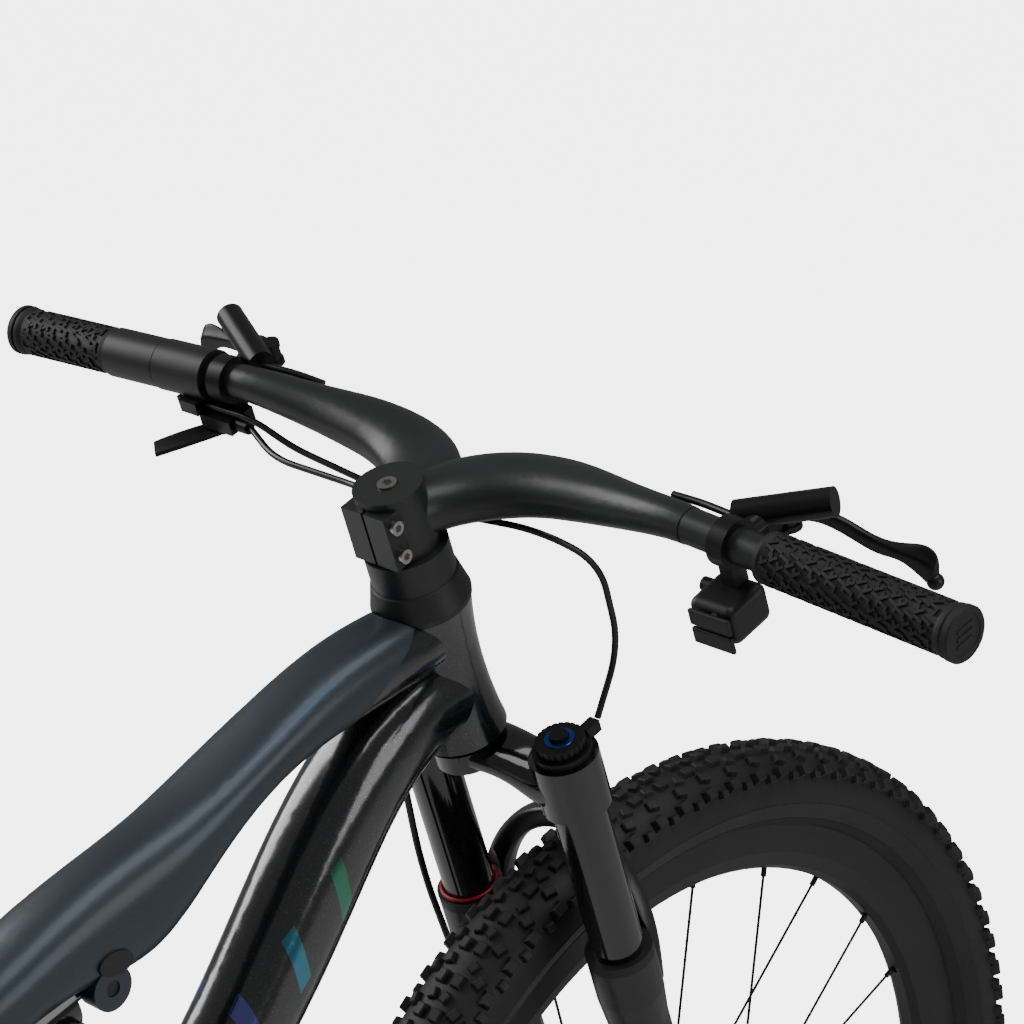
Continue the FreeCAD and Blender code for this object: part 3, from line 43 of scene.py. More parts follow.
# What a user would change for the whole bike
bike = {
    "headAngle": math.radians(66.5),
    "steerOrigin": Vector((0.54915, 0, 0.35446)),
    "frontAxle": Vector((0.5895, 0, 0.372)),
    "rearAxle": Vector((-0.5895, 0, 0.372)),
    "legY": 0.0664,
    "barStraight": [(0.19, 0.0556, 0.6892), (0.388, 0.044, 0.686)],
}
steerForward = Vector((math.sin(bike["headAngle"]), 0, math.cos(bike["headAngle"])))
steerUp = Vector((-math.cos(bike["headAngle"]), 0, math.sin(bike["headAngle"])))
steerTurn = Matrix((steerForward, (0, 1, 0), steerUp)).transposed().to_4x4()
steerMatrix = Matrix.Translation(bike["steerOrigin"]) @ steerTurn


# Materials: small node helpers

def newMaterial(name, baseColor, roughness, metallic=0.0, coat=0.0, coatRoughness=0.05, specular=0.5):
    material = bpy.data.materials.new(name)
    material.use_nodes = True
    shader = material.node_tree.nodes["Principled BSDF"]
    shader.inputs["Base Color"].default_value = (*baseColor, 1)
    shader.inputs["Roughness"].default_value = roughness
    shader.inputs["Metallic"].default_value = metallic
    shader.inputs["Coat Weight"].default_value = coat
    shader.inputs["Coat Roughness"].default_value = coatRoughness
    shader.inputs["Specular IOR Level"].default_value = specular
    return material, shader


def addNode(material, kind, **values):
    node = material.node_tree.nodes.new(kind)
    for name, value in values.items():
        if name in node.inputs:
            node.inputs[name].default_value = value
        else:
            setattr(node, name, value)
    return node


def link(material, source, target):
    material.node_tree.links.new(source, target)


def objectPoint(material):
    return addNode(material, "ShaderNodeTexCoord").outputs["Object"]


def noise(material, scale, detail=3.0, point=None, roughness=0.5):
    node = addNode(material, "ShaderNodeTexNoise", Scale=scale, Detail=detail, Roughness=roughness)
    link(material, point or objectPoint(material), node.inputs["Vector"])
    return node


def ramp(material, source, stops):
    node = addNode(material, "ShaderNodeValToRGB")
    elements = node.color_ramp.elements
    while len(elements) < len(stops):
        elements.new(0.5)
    for element, (position, color) in zip(elements, stops):
        element.position = position
        element.color = (*color, 1) if len(color) == 3 else color
    link(material, source, node.inputs["Fac"])
    return node.outputs["Color"]


def spread(material, source, low, high):
    node = addNode(material, "ShaderNodeMapRange")
    node.inputs["To Min"].default_value = low
    node.inputs["To Max"].default_value = high
    link(material, source, node.inputs["Value"])
    return node.outputs["Result"]


def bump(material, shader, height, strength, distance):
    node = addNode(material, "ShaderNodeBump", Strength=strength, Distance=distance)
    link(material, height, node.inputs["Height"])
    link(material, node.outputs["Normal"], shader.inputs["Normal"])
    return node


def mathNode(material, operation, a, b=None, clamp=False):
    node = addNode(material, "ShaderNodeMath", operation=operation, use_clamp=clamp)
    for index, value in enumerate((a, b)):
        if value is None:
            continue
        if isinstance(value, (int, float)):
            node.inputs[index].default_value = value
        else:
            link(material, value, node.inputs[index])
    return node.outputs["Value"]


def mixColor(material, factor, a, b):
    node = addNode(material, "ShaderNodeMix", data_type="RGBA")
    link(material, factor, node.inputs["Factor"])
    for value, socket in ((a, node.inputs[6]), (b, node.inputs[7])):
        if isinstance(value, tuple):
            socket.default_value = (*value, 1)
        else:
            link(material, value, socket)
    return node.outputs[2]


def worn(name, baseColor, roughness, metallic=0.0, coat=0.0, grain=900.0, grainDepth=0.00003, tone=0.25,
         **extra):
    # A surface with a fine grain, a slow change of tone and uneven roughness.
    material, shader = newMaterial(name, baseColor, roughness, metallic, coat, **extra)
    slow = noise(material, 14.0, 4.0).outputs["Fac"]
    darker = tuple(c * (1 - tone) for c in baseColor)
    lighter = tuple(min(1, c * (1 + tone)) for c in baseColor)
    link(material, ramp(material, slow, [(0.3, darker), (0.7, lighter)]), shader.inputs["Base Color"])
    fine = noise(material, grain, 2.0).outputs["Fac"]
    smooth, rough = max(0.02, roughness * 0.82), min(1, roughness * 1.18)
    link(material, spread(material, fine, smooth, rough), shader.inputs["Roughness"])
    bump(material, shader, fine, 0.35, grainDepth)
    return material


def side(material, value, threshold, softness=0.002):
    # 0 below a threshold and 1 above it, with a narrow edge.
    node = addNode(material, "ShaderNodeMapRange")
    node.inputs["From Min"].default_value = threshold - softness / 2
    node.inputs["From Max"].default_value = threshold + softness / 2
    link(material, value, node.inputs["Value"])
    return node.outputs["Result"]


def combined(material, x, y, z):
    node = addNode(material, "ShaderNodeCombineXYZ")
    for value, name in ((x, "X"), (y, "Y"), (z, "Z")):
        if isinstance(value, (int, float)):
            node.inputs[name].default_value = value
        else:
            link(material, value, node.inputs[name])
    return node.outputs["Vector"]


def along(material, x, z, direction, origin):
    # Distance along a direction in side view from an origin.
    a = mathNode(material, "MULTIPLY", mathNode(material, "SUBTRACT", x, origin[0]), direction[0])
    b = mathNode(material, "MULTIPLY", mathNode(material, "SUBTRACT", z, origin[1]), direction[1])
    return mathNode(material, "ADD", a, b)


paint = {
    "blue": (0.040, 0.054, 0.068), "blueRoughness": 0.42,
    "dark": (0.006, 0.007, 0.008), "flakeScale": 2600.0,
    "edgeFrom": (0.205, 0.838), "edgeTo": (0.296, 0.925),
    "shift": [(0.0, (0.03, 0.22, 0.1)), (0.3, (0.03, 0.24, 0.3)), (0.55, (0.08, 0.16, 0.5)),
              (0.8, (0.2, 0.1, 0.45)), (1.0, (0.03, 0.22, 0.12))],
}


stripes = {"count": 6, "first": 0.0, "pitch": 0.05, "width": 0.012, "halfHeight": 0.016}


def framePaintMaterial():
    # Blue-grey satin metallic above a crisp line, dark gloss with coloured flakes below it.
    material, shader = newMaterial("frame paint", paint["blue"], 0.4, 0.5, 0.25, 0.15)
    axes = addNode(material, "ShaderNodeSeparateXYZ")
    point = objectPoint(material)
    link(material, point, axes.inputs["Vector"])
    x, y, z = (axes.outputs[name] for name in "XYZ")
    # above the line in side view: two straight pieces that meet at the fork of the tubes
    (x0, z0), (x1, z1) = paint["edgeFrom"], paint["edgeTo"]
    frontSlope = (z1 - z0) / (x1 - x0)
    front = mathNode(material, "SUBTRACT", mathNode(material, "SUBTRACT", z, z0),
                     mathNode(material, "MULTIPLY", mathNode(material, "SUBTRACT", x, x0), frontSlope))
    rear = mathNode(material, "SUBTRACT", mathNode(material, "SUBTRACT", z, z0),
                    mathNode(material, "MULTIPLY", mathNode(material, "SUBTRACT", x, x0), 1.22))
    behind = side(material, x, x0, 0.0005)
    line = addNode(material, "ShaderNodeMix", data_type="FLOAT")
    link(material, behind, line.inputs["Factor"])
    link(material, rear, line.inputs[2])
    link(material, front, line.inputs[3])
    isBlue = side(material, line.outputs[0], 0.0, 0.0008)
    # blue side: fine metallic grain and slow tone
    grain = noise(material, 2200.0, 2.0, point).outputs["Fac"]
    slow = noise(material, 7.0, 3.0, point).outputs["Fac"]
    deep, pale = (tuple(c * share for c in paint["blue"]) for share in (0.85, 1.2))
    blue = ramp(material, slow, [(0.3, deep), (0.72, pale)])
    blue = mixColor(material, spread(material, grain, 0.0, 0.35), blue, (0.085, 0.108, 0.13))
    # dark side: every flake has its own hue, and only some flakes catch the light
    cells = addNode(material, "ShaderNodeTexVoronoi", Scale=paint["flakeScale"], Randomness=1.0)
    link(material, point, cells.inputs["Vector"])
    hue = addNode(material, "ShaderNodeSeparateColor")
    link(material, cells.outputs["Color"], hue.inputs["Color"])
    flakeColor = addNode(material, "ShaderNodeCombineColor", mode="HSV")
    link(material, hue.outputs["Red"], flakeColor.inputs["Red"])
    flakeColor.inputs["Green"].default_value = 0.85
    flakeColor.inputs["Blue"].default_value = 0.3
    bright = side(material, hue.outputs["Green"], 0.972, 0.03)
    dark = mixColor(material, bright, paint["dark"], flakeColor.outputs["Color"])
    base = mixColor(material, isBlue, dark, blue)
    # plain slanted stripes of one width across the down tube
    tubeU = along(material, x, z, (-0.677, -0.736), (0.221, 0.7635))
    tubeV = along(material, x, z, (-0.736, 0.677), (0.221, 0.7635))
    slanted = mathNode(material, "ADD", tubeU, mathNode(material, "MULTIPLY", tubeV, 0.55))
    stripeMask = None
    for index in range(stripes["count"]):
        start = stripes["first"] + index * stripes["pitch"]
        begun = side(material, slanted, start, 0.0006)
        ended = mathNode(material, "SUBTRACT", 1.0, side(material, slanted, start + stripes["width"], 0.0006))
        band = mathNode(material, "MULTIPLY", begun, ended)
        stripeMask = band if stripeMask is None else mathNode(material, "MAXIMUM", stripeMask, band)
    beyond = side(material, mathNode(material, "ABSOLUTE", tubeV), stripes["halfHeight"], 0.0006)
    width = mathNode(material, "SUBTRACT", 1.0, beyond)
    outside = side(material, mathNode(material, "ABSOLUTE", y), 0.014, 0.0006)
    decal = mathNode(material, "MULTIPLY", mathNode(material, "MULTIPLY", stripeMask, width), outside)
    decal = mathNode(material, "MULTIPLY", decal, mathNode(material, "SUBTRACT", 1.0, isBlue))
    repeat = mathNode(material, "FRACT", mathNode(material, "MULTIPLY", slanted, 6.0))
    shift = ramp(material, repeat, paint["shift"])
    base = mixColor(material, decal, base, shift)
    # one thin plain line on the top tube
    topU = along(material, x, z, (0.93, 0.37), (0.16, 0.86))
    topRange = mathNode(material, "MULTIPLY", side(material, topU, -0.02, 0.0004),
                        mathNode(material, "SUBTRACT", 1.0, side(material, topU, 0.06, 0.0004)))
    acrossRange = mathNode(material, "MULTIPLY", side(material, y, -0.0210, 0.0004),
                           mathNode(material, "SUBTRACT", 1.0, side(material, y, -0.0198, 0.0004)))
    marks = mathNode(material, "MULTIPLY", topRange, acrossRange)
    base = mixColor(material, mathNode(material, "MULTIPLY", marks, isBlue), base, (0.03, 0.08, 0.15))
    link(material, base, shader.inputs["Base Color"])
    shiny = mathNode(material, "MAXIMUM", bright, decal)
    metal = mathNode(material, "MAXIMUM", mathNode(material, "MULTIPLY", isBlue, 0.55), shiny)
    link(material, metal, shader.inputs["Metallic"])
    rough = addNode(material, "ShaderNodeMix", data_type="FLOAT")
    link(material, isBlue, rough.inputs["Factor"])
    rough.inputs[2].default_value = 0.16
    satin = paint["blueRoughness"]
    link(material, spread(material, grain, satin - 0.08, satin + 0.08), rough.inputs[3])
    link(material, rough.outputs[0], shader.inputs["Roughness"])
    coat = mathNode(material, "SUBTRACT", 1.0, mathNode(material, "MULTIPLY", isBlue, 0.85))
    link(material, coat, shader.inputs["Coat Weight"])
    bump(material, shader, grain, 0.12, 0.00001)
    return material


framePaintFinish = framePaintMaterial()
carbon = worn("satin carbon", (0.012, 0.013, 0.014), 0.42, coat=0.18, coatRoughness=0.3, grain=1400.0)
rimCarbon = worn("rim carbon", (0.008, 0.008, 0.009), 0.5, grain=1200.0, tone=0.5)
glossBlack = worn("gloss black", (0.004, 0.004, 0.005), 0.12, coat=0.8, grain=500.0, grainDepth=0.000004)
lowerSatin = worn("satin black paint", (0.012, 0.012, 0.013), 0.36, coat=0.2, coatRoughness=0.25,
                  grain=1100.0)
anodised = worn("anodised black", (0.015, 0.015, 0.016), 0.36, 0.5, grain=1600.0)
brushed = worn("brushed steel", (0.5, 0.5, 0.5), 0.3, 1.0, grain=700.0)
blackWire = worn("black wire", (0.01, 0.01, 0.01), 0.35, 0.6, grain=2000.0)
rubber = worn("grip rubber", (0.010, 0.010, 0.010), 0.62, grain=1500.0, grainDepth=0.00006)
tyreRubber = worn("tyre rubber", (0.011, 0.011, 0.0115), 0.58, grain=800.0, grainDepth=0.0001, tone=0.4)
sealRubber = worn("seal rubber", (0.008, 0.008, 0.008), 0.5, grain=1500.0)
ringRubber = worn("red ring", (0.45, 0.008, 0.012), 0.35, grain=1500.0)
plastic = worn("black plastic", (0.012, 0.012, 0.013), 0.45, grain=1300.0)
cableCover = worn("cable cover", (0.008, 0.008, 0.008), 0.3, grain=1500.0)
saddleCover = worn("saddle cover", (0.015, 0.015, 0.016), 0.6, grain=600.0, grainDepth=0.0001)
titanium = worn("bolt metal", (0.5, 0.48, 0.45), 0.25, 1.0, grain=1500.0)
blueAnodised = worn("blue anodised", (0.02, 0.12, 0.45), 0.25, 0.9, grain=1500.0)

finishes = {
    "front_frame": framePaintFinish, "chainstays": framePaintFinish, "seatstays": framePaintFinish,
    "rocker_link": anodised, "fork_lowers": lowerSatin, "fork_crown": glossBlack,
    "stanchions": glossBlack,
    "fork_top_caps": anodised, "fork_lockout_cam": anodised, "shock_can": glossBlack,
    "shock_shaft": glossBlack,
    "handlebar": carbon, "stem_top_cap": carbon, "headset_spacers": carbon, "headset_cover": plastic,
    "crankset": carbon, "front_rim": rimCarbon, "rear_rim": rimCarbon, "grips": rubber,
    "fork_wipers": sealRubber, "sag_ring": ringRubber, "front_tyre": tyreRubber, "rear_tyre": tyreRubber,
    "front_spokes": blackWire, "rear_spokes": blackWire, "front_rotor": brushed, "rear_rotor": brushed,
    "cassette": brushed, "chain": brushed,
    "frame_bearings": brushed, "saddle_rails": anodised, "saddle_pad": saddleCover, "cockpit_bolts": titanium,
    "cockpit_cables": cableCover, "front_brake_hose": cableCover, "shock_bolt_cover": plastic,
}
for label, node in nodes.items():
    moulded = any(word in label for word in ("shift", "lockout", "pedal"))
    finish = finishes.get(label, plastic if moulded else anodised)
    node.data.materials.clear()
    node.data.materials.append(finish)
print("stage: CAD pieces have their finishes")


# Pieces made here: small mesh helpers

def finishPiece(name, bm, materials, body, replaced=(), sharpAngle=32):
    # Turns a bmesh in the row frame into a piece that rides on a CAD body.
    bmesh.ops.recalc_face_normals(bm, faces=bm.faces)
    mesh = bpy.data.meshes.new(name)
    bm.to_mesh(mesh)
    bm.free()
    for material in materials:
        mesh.materials.append(material)
    mesh.shade_smooth()
    mesh.set_sharp_from_angle(angle=math.radians(sharpAngle))
    piece = bpy.data.objects.new(name, mesh)
    bpy.context.scene.collection.objects.link(piece)
    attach(piece, body)
    if replaced:
        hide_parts(*replaced)
    return piece


def addCopy(bm, mesh, matrix):
    # Adds a moved copy of a small mesh.
    copied = mesh.copy()
    copied.transform(matrix)
    bm.from_mesh(copied)
    bpy.data.meshes.remove(copied)


def addPart(bm, part, matrix=Matrix()):
    # Moves a bmesh into a bigger one.
    mesh = bpy.data.meshes.new("part")
    part.to_mesh(mesh)
    part.free()
    mesh.transform(matrix)
    bm.from_mesh(mesh)
    bpy.data.meshes.remove(mesh)


def smallMesh(build):
    # A reusable mesh from a function that fills a bmesh.
    bm = bmesh.new()
    build(bm)
    mesh = bpy.data.meshes.new("template")
    bm.to_mesh(mesh)
    bm.free()
    return mesh


def revolveProfile(bm, profile, steps, matrix=Matrix()):
    # Revolves a closed (radius, height) profile about local Z.
    part = bmesh.new()
    verts = [part.verts.new((radius, 0, height)) for radius, height in profile]
    edges = [part.edges.new((a, b)) for a, b in zip(verts, verts[1:] + verts[:1])]
    bmesh.ops.spin(part, geom=verts + edges, cent=(0, 0, 0), axis=(0, 0, 1), angle=math.tau, steps=steps,
                   use_merge=True)
    bmesh.ops.remove_doubles(part, verts=part.verts, dist=0.000002)
    addPart(bm, part, matrix)


def wheelMatrix(axle):
    # Local Z along the axle, towards the rider's left.
    return Matrix.Translation(axle) @ Matrix(((1, 0, 0), (0, 0, -1), (0, 1, 0))).transposed().to_4x4()


def blockTemplate(length, width, height, taper, bevel):
    # A knob: a block that narrows upward, with softened top edges, standing on local Z 0.
    def build(bm):
        bmesh.ops.create_cube(bm, size=1)
        for vert in bm.verts:
            narrow = taper if vert.co.z > 0 else 1.0
            x, y, z = vert.co
            vert.co = Vector((x * length * narrow, y * width * narrow, (z + 0.5) * height))
        top = [edge for edge in bm.edges if all(vert.co.z > height * 0.9 for vert in edge.verts)]
        bmesh.ops.bevel(bm, geom=top, offset=bevel, segments=1, profile=0.5, affect="EDGES",
                        material=-1)
    return smallMesh(build)


# Tyres

tyre = {
    "rows": 88, "crown": 0.3684, "halfWidth": 0.0292, "equator": 0.343, "power": 2.35,
    "bead": (0.0132, 0.3125), "wall": 0.0024, "steps": 144, "knobRound": 0.0006,
}


def casingRadius(y):
    # The casing's radius at a distance from the centre plane.
    share = min(1.0, abs(y) / tyre["halfWidth"])
    rise = tyre["crown"] - tyre["equator"]
    return tyre["equator"] + rise * (1 - share ** tyre["power"]) ** (1 / tyre["power"])


def casingProfile():
    # Half a casing section from the crown to the bead, with the fine rings of the side wall.
    crownYs = (0, 0.004, 0.009, 0.014, 0.019, 0.0235, 0.0265, 0.0283)
    points = [(casingRadius(y), y) for y in crownYs]
    points += [(0.343, 0.0292), (0.336, 0.0289), (0.3355, 0.0293), (0.3348, 0.0288), (0.329, 0.0268)]
    points += [(0.3235, 0.0232), (0.3229, 0.0234), (0.3222, 0.0224), (0.318, 0.0182), (0.3165, 0.0160)]
    points += [(0.3155, 0.0132), tyre["bead"][::-1]]
    return points


def makeTyre(name, axle, body, node):
    bm = bmesh.new()
    half = casingProfile()
    beadRadius = tyre["bead"][1]
    depth = tyre["crown"] - beadRadius
    inner = []
    for radius, y in half[::2]:
        thickness = tyre["wall"] * (0.2 + 0.8 * (radius - beadRadius) / depth)
        inner.append((radius - thickness, y * 0.9))
    outline = half + [(radius, y) for radius, y in reversed(inner[1:])]
    mirrored = [(radius, -y) for radius, y in reversed(outline[1:])]
    revolveProfile(bm, outline + [(inner[0][0], 0.0)] + mirrored, tyre["steps"])
    rounded = tyre["knobRound"]
    centreKnob = blockTemplate(0.0105, 0.0078, 0.0056, 0.82, rounded)
    bridgeKnob = blockTemplate(0.0085, 0.0066, 0.0052, 0.8, rounded)
    middleKnob = blockTemplate(0.0094, 0.0072, 0.0056, 0.8, rounded)
    sideKnob = blockTemplate(0.0112, 0.0082, 0.0066, 0.78, rounded)
    lowKnob = blockTemplate(0.0078, 0.0062, 0.0052, 0.78, rounded)
    step = math.tau / tyre["rows"]
    for row in range(tyre["rows"]):
        odd = row % 2
        pattern = [
            (centreKnob, 0.0063, 0.0, 0.0), (bridgeKnob, 0.0052 if odd else 0.0098, 0.5, 0.35),
            (middleKnob, 0.0158 if odd else 0.0175, 0.22, 0.3),
            (sideKnob, 0.0243, 0.05 if odd else 0.0, -0.12),
            (lowKnob, 0.0262, 0.55, 0.1),
        ]
        for knob, y, share, turn in pattern:
            for sign in (1, -1):
                angle = step * (row + share)
                across = y * sign
                ahead, behind = casingRadius(abs(y) + 0.001), casingRadius(abs(y) - 0.001)
                tilt = math.atan2(behind - ahead, 0.002) * sign
                root = Matrix.Translation((casingRadius(y) - 0.0019, 0, across))
                lean = Matrix.Rotation(math.pi / 2 - tilt, 4, "Y")
                spinKnob = Matrix.Rotation(math.pi / 2 + turn * sign, 4, "Z")
                place = Matrix.Rotation(angle, 4, "Z") @ root @ lean @ spinKnob
                addCopy(bm, knob, place)
    bmesh.ops.transform(bm, matrix=wheelMatrix(axle), verts=bm.verts)
    return finishPiece(name, bm, [tyreRubber], body, [node], 30)


makeTyre("frontTyre", bike["frontAxle"], "front_wheel", "front_tyre")
makeTyre("rearTyre", bike["rearAxle"], "rear_wheel", "rear_tyre")
print("stage: tyres")


# Grips

def onBar(reach, sign):
    # The straight bar end's centre at a distance from the middle, in the steering frame.
    (y0, d0, s0), (y1, d1, s1) = bike["barStraight"]
    share = (reach - y0) / (y1 - y0)
    return Vector((d0 + share * (d1 - d0), sign * reach, s0 + share * (s1 - s0)))


def barMatrix(reach, sign):
    # Local Z runs outward along the straight end of the bar, from a point on it.
    outward = (onBar(0.388, sign) - onBar(0.2, sign)).normalized()
    sideways = (Vector((1, 0, 0)) - outward * outward.x).normalized()
    basis = Matrix((sideways, outward.cross(sideways), outward)).transposed().to_4x4()
    return steerMatrix @ Matrix.Translation(onBar(reach, sign)) @ basis


grip = {
    "core": 0.0147, "bore": 0.01114, "ridge": 0.0013, "cell": 0.0062, "lineWidth": 0.0021, "flange": 0.0162,
    "right": (0.251, 0.1370), "left": (0.3025, 0.0857), "plugReach": 0.3886,
}


def wrapBar(bm, start, end):
    # A short raised line from one (along, around) point to another, wrapped on a cylinder.
    width, height, core = grip["lineWidth"], grip["ridge"], grip["core"]
    span = Vector(end) - Vector(start)
    first = len(bm.verts)
    made = bmesh.ops.create_cube(bm, size=1)
    edges = {edge for vert in made["verts"] for edge in vert.link_edges}
    lengthwise = [edge for edge in edges if abs(edge.verts[0].co.x - edge.verts[1].co.x) > 0.5]
    bmesh.ops.subdivide_edges(bm, edges=lengthwise, cuts=1)
    bm.verts.ensure_lookup_table()
    every = bm.verts[first:]
    turn = math.atan2(span.y, span.x)
    for vert in every:
        narrow = 0.82 if vert.co.z > 0 else 1.0
        ahead = vert.co.x * (span.length + width * 0.7)
        across = vert.co.y * width * narrow
        offset = Vector((math.cos(turn) * ahead - math.sin(turn) * across,
                         math.sin(turn) * ahead + math.cos(turn) * across))
        point = Vector(start) + span / 2 + offset
        radius = core + height * (vert.co.z + 0.4)
        around = point.y / core
        vert.co = Vector((radius * math.cos(around), radius * math.sin(around), point.x))


def gripPattern(bm, length):
    # A maze of short slanted lines in staggered cells.
    columns = round(length / grip["cell"])
    rows = round(math.tau * grip["core"] / grip["cell"])
    cellAround = math.tau * grip["core"] / rows
    cellAlong = length / columns
    for column in range(columns):
        for row in range(rows):
            u, v = (column + 0.5) * cellAlong, (row + 0.5 * (column % 2)) * cellAround
            kind = (column * 2 + row * 3 + (column // 3)) % 5
            half, rise = cellAlong * 0.44, cellAround * 0.44
            if kind in (0, 1):
                wrapBar(bm, (u - half, v - rise), (u + half, v - rise * 0.4))
                wrapBar(bm, (u + half, v - rise * 0.4), (u + half * 0.8, v + rise * 0.7))
            elif kind in (2, 3):
                wrapBar(bm, (u - half, v + rise * 0.5), (u + half * 0.5, v - rise * 0.3))
                wrapBar(bm, (u - half * 0.7, v + rise * 0.5), (u - half, v - rise * 0.6))
            else:
                wrapBar(bm, (u - half, v), (u + half, v + rise * 0.6))


def makeGrip(bm, reach, length, sign):
    core, edge, inner = grip["core"], grip["flange"], grip["bore"]
    profile = [(inner, 0.0002), (core + 0.0008, 0.0002), (core + 0.001, 0.003), (core, 0.0045)]
    profile += [(core, length - 0.006), (edge - 0.0004, length - 0.0045), (edge, length - 0.003)]
    profile += [(edge, length - 0.001), (edge - 0.0008, length), (inner, length)]
    place = barMatrix(reach, sign)
    revolveProfile(bm, profile, 64, place)
    lines = bmesh.new()
    gripPattern(lines, length - 0.014)
    addPart(bm, lines, place @ Matrix.Translation((0, 0, 0.006)))


def makePlug(bm, sign):
    # An end cap with a stepped rim and a plain raised emblem.
    place = barMatrix(grip["plugReach"], sign)
    profile = [(0, 0), (0.0168, 0), (0.0168, 0.0036), (0.0160, 0.0046), (0.0128, 0.0046), (0.0122, 0.0039)]
    revolveProfile(bm, profile + [(0, 0.0039)], 64, place)
    emblem = bmesh.new()
    for k in range(3):
        made = bmesh.ops.create_cube(emblem, size=1)
        for vert in made["verts"]:
            x, y, z = vert.co
            step = k - 1
            vert.co = Vector((x * 0.013 + 0.0012 * step, y * 0.0024 + 0.0045 * step, z * 0.0008 + 0.004))
    addPart(bm, emblem, place)


gripsBm = bmesh.new()
makeGrip(gripsBm, *grip["right"], -1)
makeGrip(gripsBm, *grip["left"], 1)
makePlug(gripsBm, -1)
makePlug(gripsBm, 1)
finishPiece("grips", gripsBm, [rubber], "steering", ["grips"], 35)
print("stage: grips")


# Ring round the damper knob
damperRing = {"inner": 0.0064, "outer": 0.0098, "level": 0.5121, "height": 0.0005, "forward": 0.020}


def makeDamperRing():
    bm = bmesh.new()
    inner, outer, height = (damperRing[name] for name in ("inner", "outer", "height"))
    place = steerMatrix @ Matrix.Translation((damperRing["forward"], -bike["legY"], damperRing["level"]))
    profile = [(inner, 0), (outer, 0), (outer - 0.0002, height), (inner + 0.0002, height)]
    revolveProfile(bm, profile, 48, place)
    finishPiece("damperRing", bm, [blueAnodised], "damper_cam", (), 30)


makeDamperRing()
print("stage: damper ring")


# Chain: real links on the path round ring, sprocket and pulleys

chain = {
    "pitch": 0.0127, "line": -0.05295, "plate": (0.0150, 0.0009, 0.0078), "roller": 0.0038,
    "circles": [((-0.1525, 0.33), 34, 1), ((-0.5895, 0.372), 24, 1), ((-0.5715, 0.238), 12, -1),
                ((-0.5475, 0.150), 14, 1)],
}


def pitchRadius(teeth):
    return chain["pitch"] / (2 * math.sin(math.pi / teeth))


def beltPath():
    # Points all the way round the chain's path in side view, closely spaced.
    circles = [(Vector(centre), pitchRadius(teeth), sense) for centre, teeth, sense in chain["circles"]]
    contacts = []
    for (c1, r1, s1), (c2, r2, s2) in zip(circles, circles[1:] + circles[:1]):
        gap = c2 - c1
        lean = math.atan2(gap.y, gap.x) + math.acos((s2 * r2 - s1 * r1) / gap.length)
        normal = Vector((math.cos(lean), math.sin(lean)))
        contacts.append((c1 - normal * (s1 * r1), c2 - normal * (s2 * r2)))
    points = []
    for index, ((centre, radius, sense), (leave, reach)) in enumerate(zip(circles, contacts)):
        arrive = contacts[index - 1][1]
        start = math.atan2(arrive.y - centre.y, arrive.x - centre.x)
        stop = math.atan2(leave.y - centre.y, leave.x - centre.x)
        sweep = (stop - start) * sense % math.tau
        for k in range(40):
            angle = start + sense * sweep * k / 40
            points.append(centre + Vector((math.cos(angle), math.sin(angle))) * radius)
        points += [leave.lerp(reach, k / 60) for k in range(60)]
    return points


def makeChain():
    path = beltPath()
    lengths = [0.0]
    for a, b in zip(path, path[1:] + path[:1]):
        lengths.append(lengths[-1] + (b - a).length)
    count = round(lengths[-1] / chain["pitch"] / 2) * 2
    pins, cursor = [], 0
    for k in range(count):
        target = lengths[-1] * k / count
        while lengths[cursor + 1] < target:
            cursor += 1
        share = (target - lengths[cursor]) / (lengths[cursor + 1] - lengths[cursor])
        pins.append(path[cursor].lerp(path[(cursor + 1) % len(path)], share))

    def linkTemplate(offset):
        def build(bm):
            length, thick, high = chain["plate"]
            for sign in (1, -1):
                made = bmesh.ops.create_cube(bm, size=1)
                for vert in made["verts"]:
                    waist = 0.8 if abs(vert.co.x) < 0.1 else 1.0
                    x, y, z = vert.co
                    vert.co = Vector((x * length, y * thick + sign * offset, z * high * waist))
                upright = [edge for edge in {e for v in made["verts"] for e in v.link_edges}
                           if abs(edge.verts[0].co.y - edge.verts[1].co.y) > thick * 0.9]
                bmesh.ops.bevel(bm, geom=upright, offset=high * 0.36, segments=3, profile=0.5,
                                affect="EDGES", material=-1)
            across = Matrix.Translation((length / 2 - 0.0045, 0, 0)) @ Matrix.Rotation(math.pi / 2, 4, "X")
            pin = chain["roller"] * 0.6
            bmesh.ops.create_cone(bm, cap_ends=True, segments=8, radius1=pin, radius2=pin,
                                  depth=offset * 2 + 0.0008, matrix=across)
        return smallMesh(build)

    links = (linkTemplate(0.00165), linkTemplate(0.00255))
    bm = bmesh.new()
    for index, (a, b) in enumerate(zip(pins, pins[1:] + pins[:1])):
        middle, span = (a + b) / 2, b - a
        lean = Matrix.Rotation(-math.atan2(span.y, span.x), 4, "Y")
        place = Matrix.Translation((middle.x, chain["line"], middle.y)) @ lean
        addCopy(bm, links[index % 2], place)
    return finishPiece("chain", bm, [chainSteel], "swingarm", ["chain"], 30)


chainSteel = worn("chain steel", (0.16, 0.155, 0.15), 0.34, 1.0, grain=1200.0)
makeChain()
print("stage: chain")


# Saddle pad

saddle = {
    "origin": Vector((-0.3139, 0, 0.9589)), "sections": [
        (-0.127, 0.0455, 0.043, 0.0055), (-0.118, 0.0450, 0.060, 0.0095), (-0.100, 0.0440, 0.070, 0.0135),
        (-0.070, 0.040, 0.0715, 0.0148), (-0.040, 0.038, 0.0600, 0.0148), (-0.010, 0.036, 0.0440, 0.0148),
        (0.020, 0.0354, 0.0330, 0.0142), (0.050, 0.035, 0.0260, 0.0138), (0.090, 0.0355, 0.0215, 0.0125),
        (0.125, 0.035, 0.0160, 0.0095), (0.138, 0.034, 0.0095, 0.0060)],
    "slot": 0.0055,
}


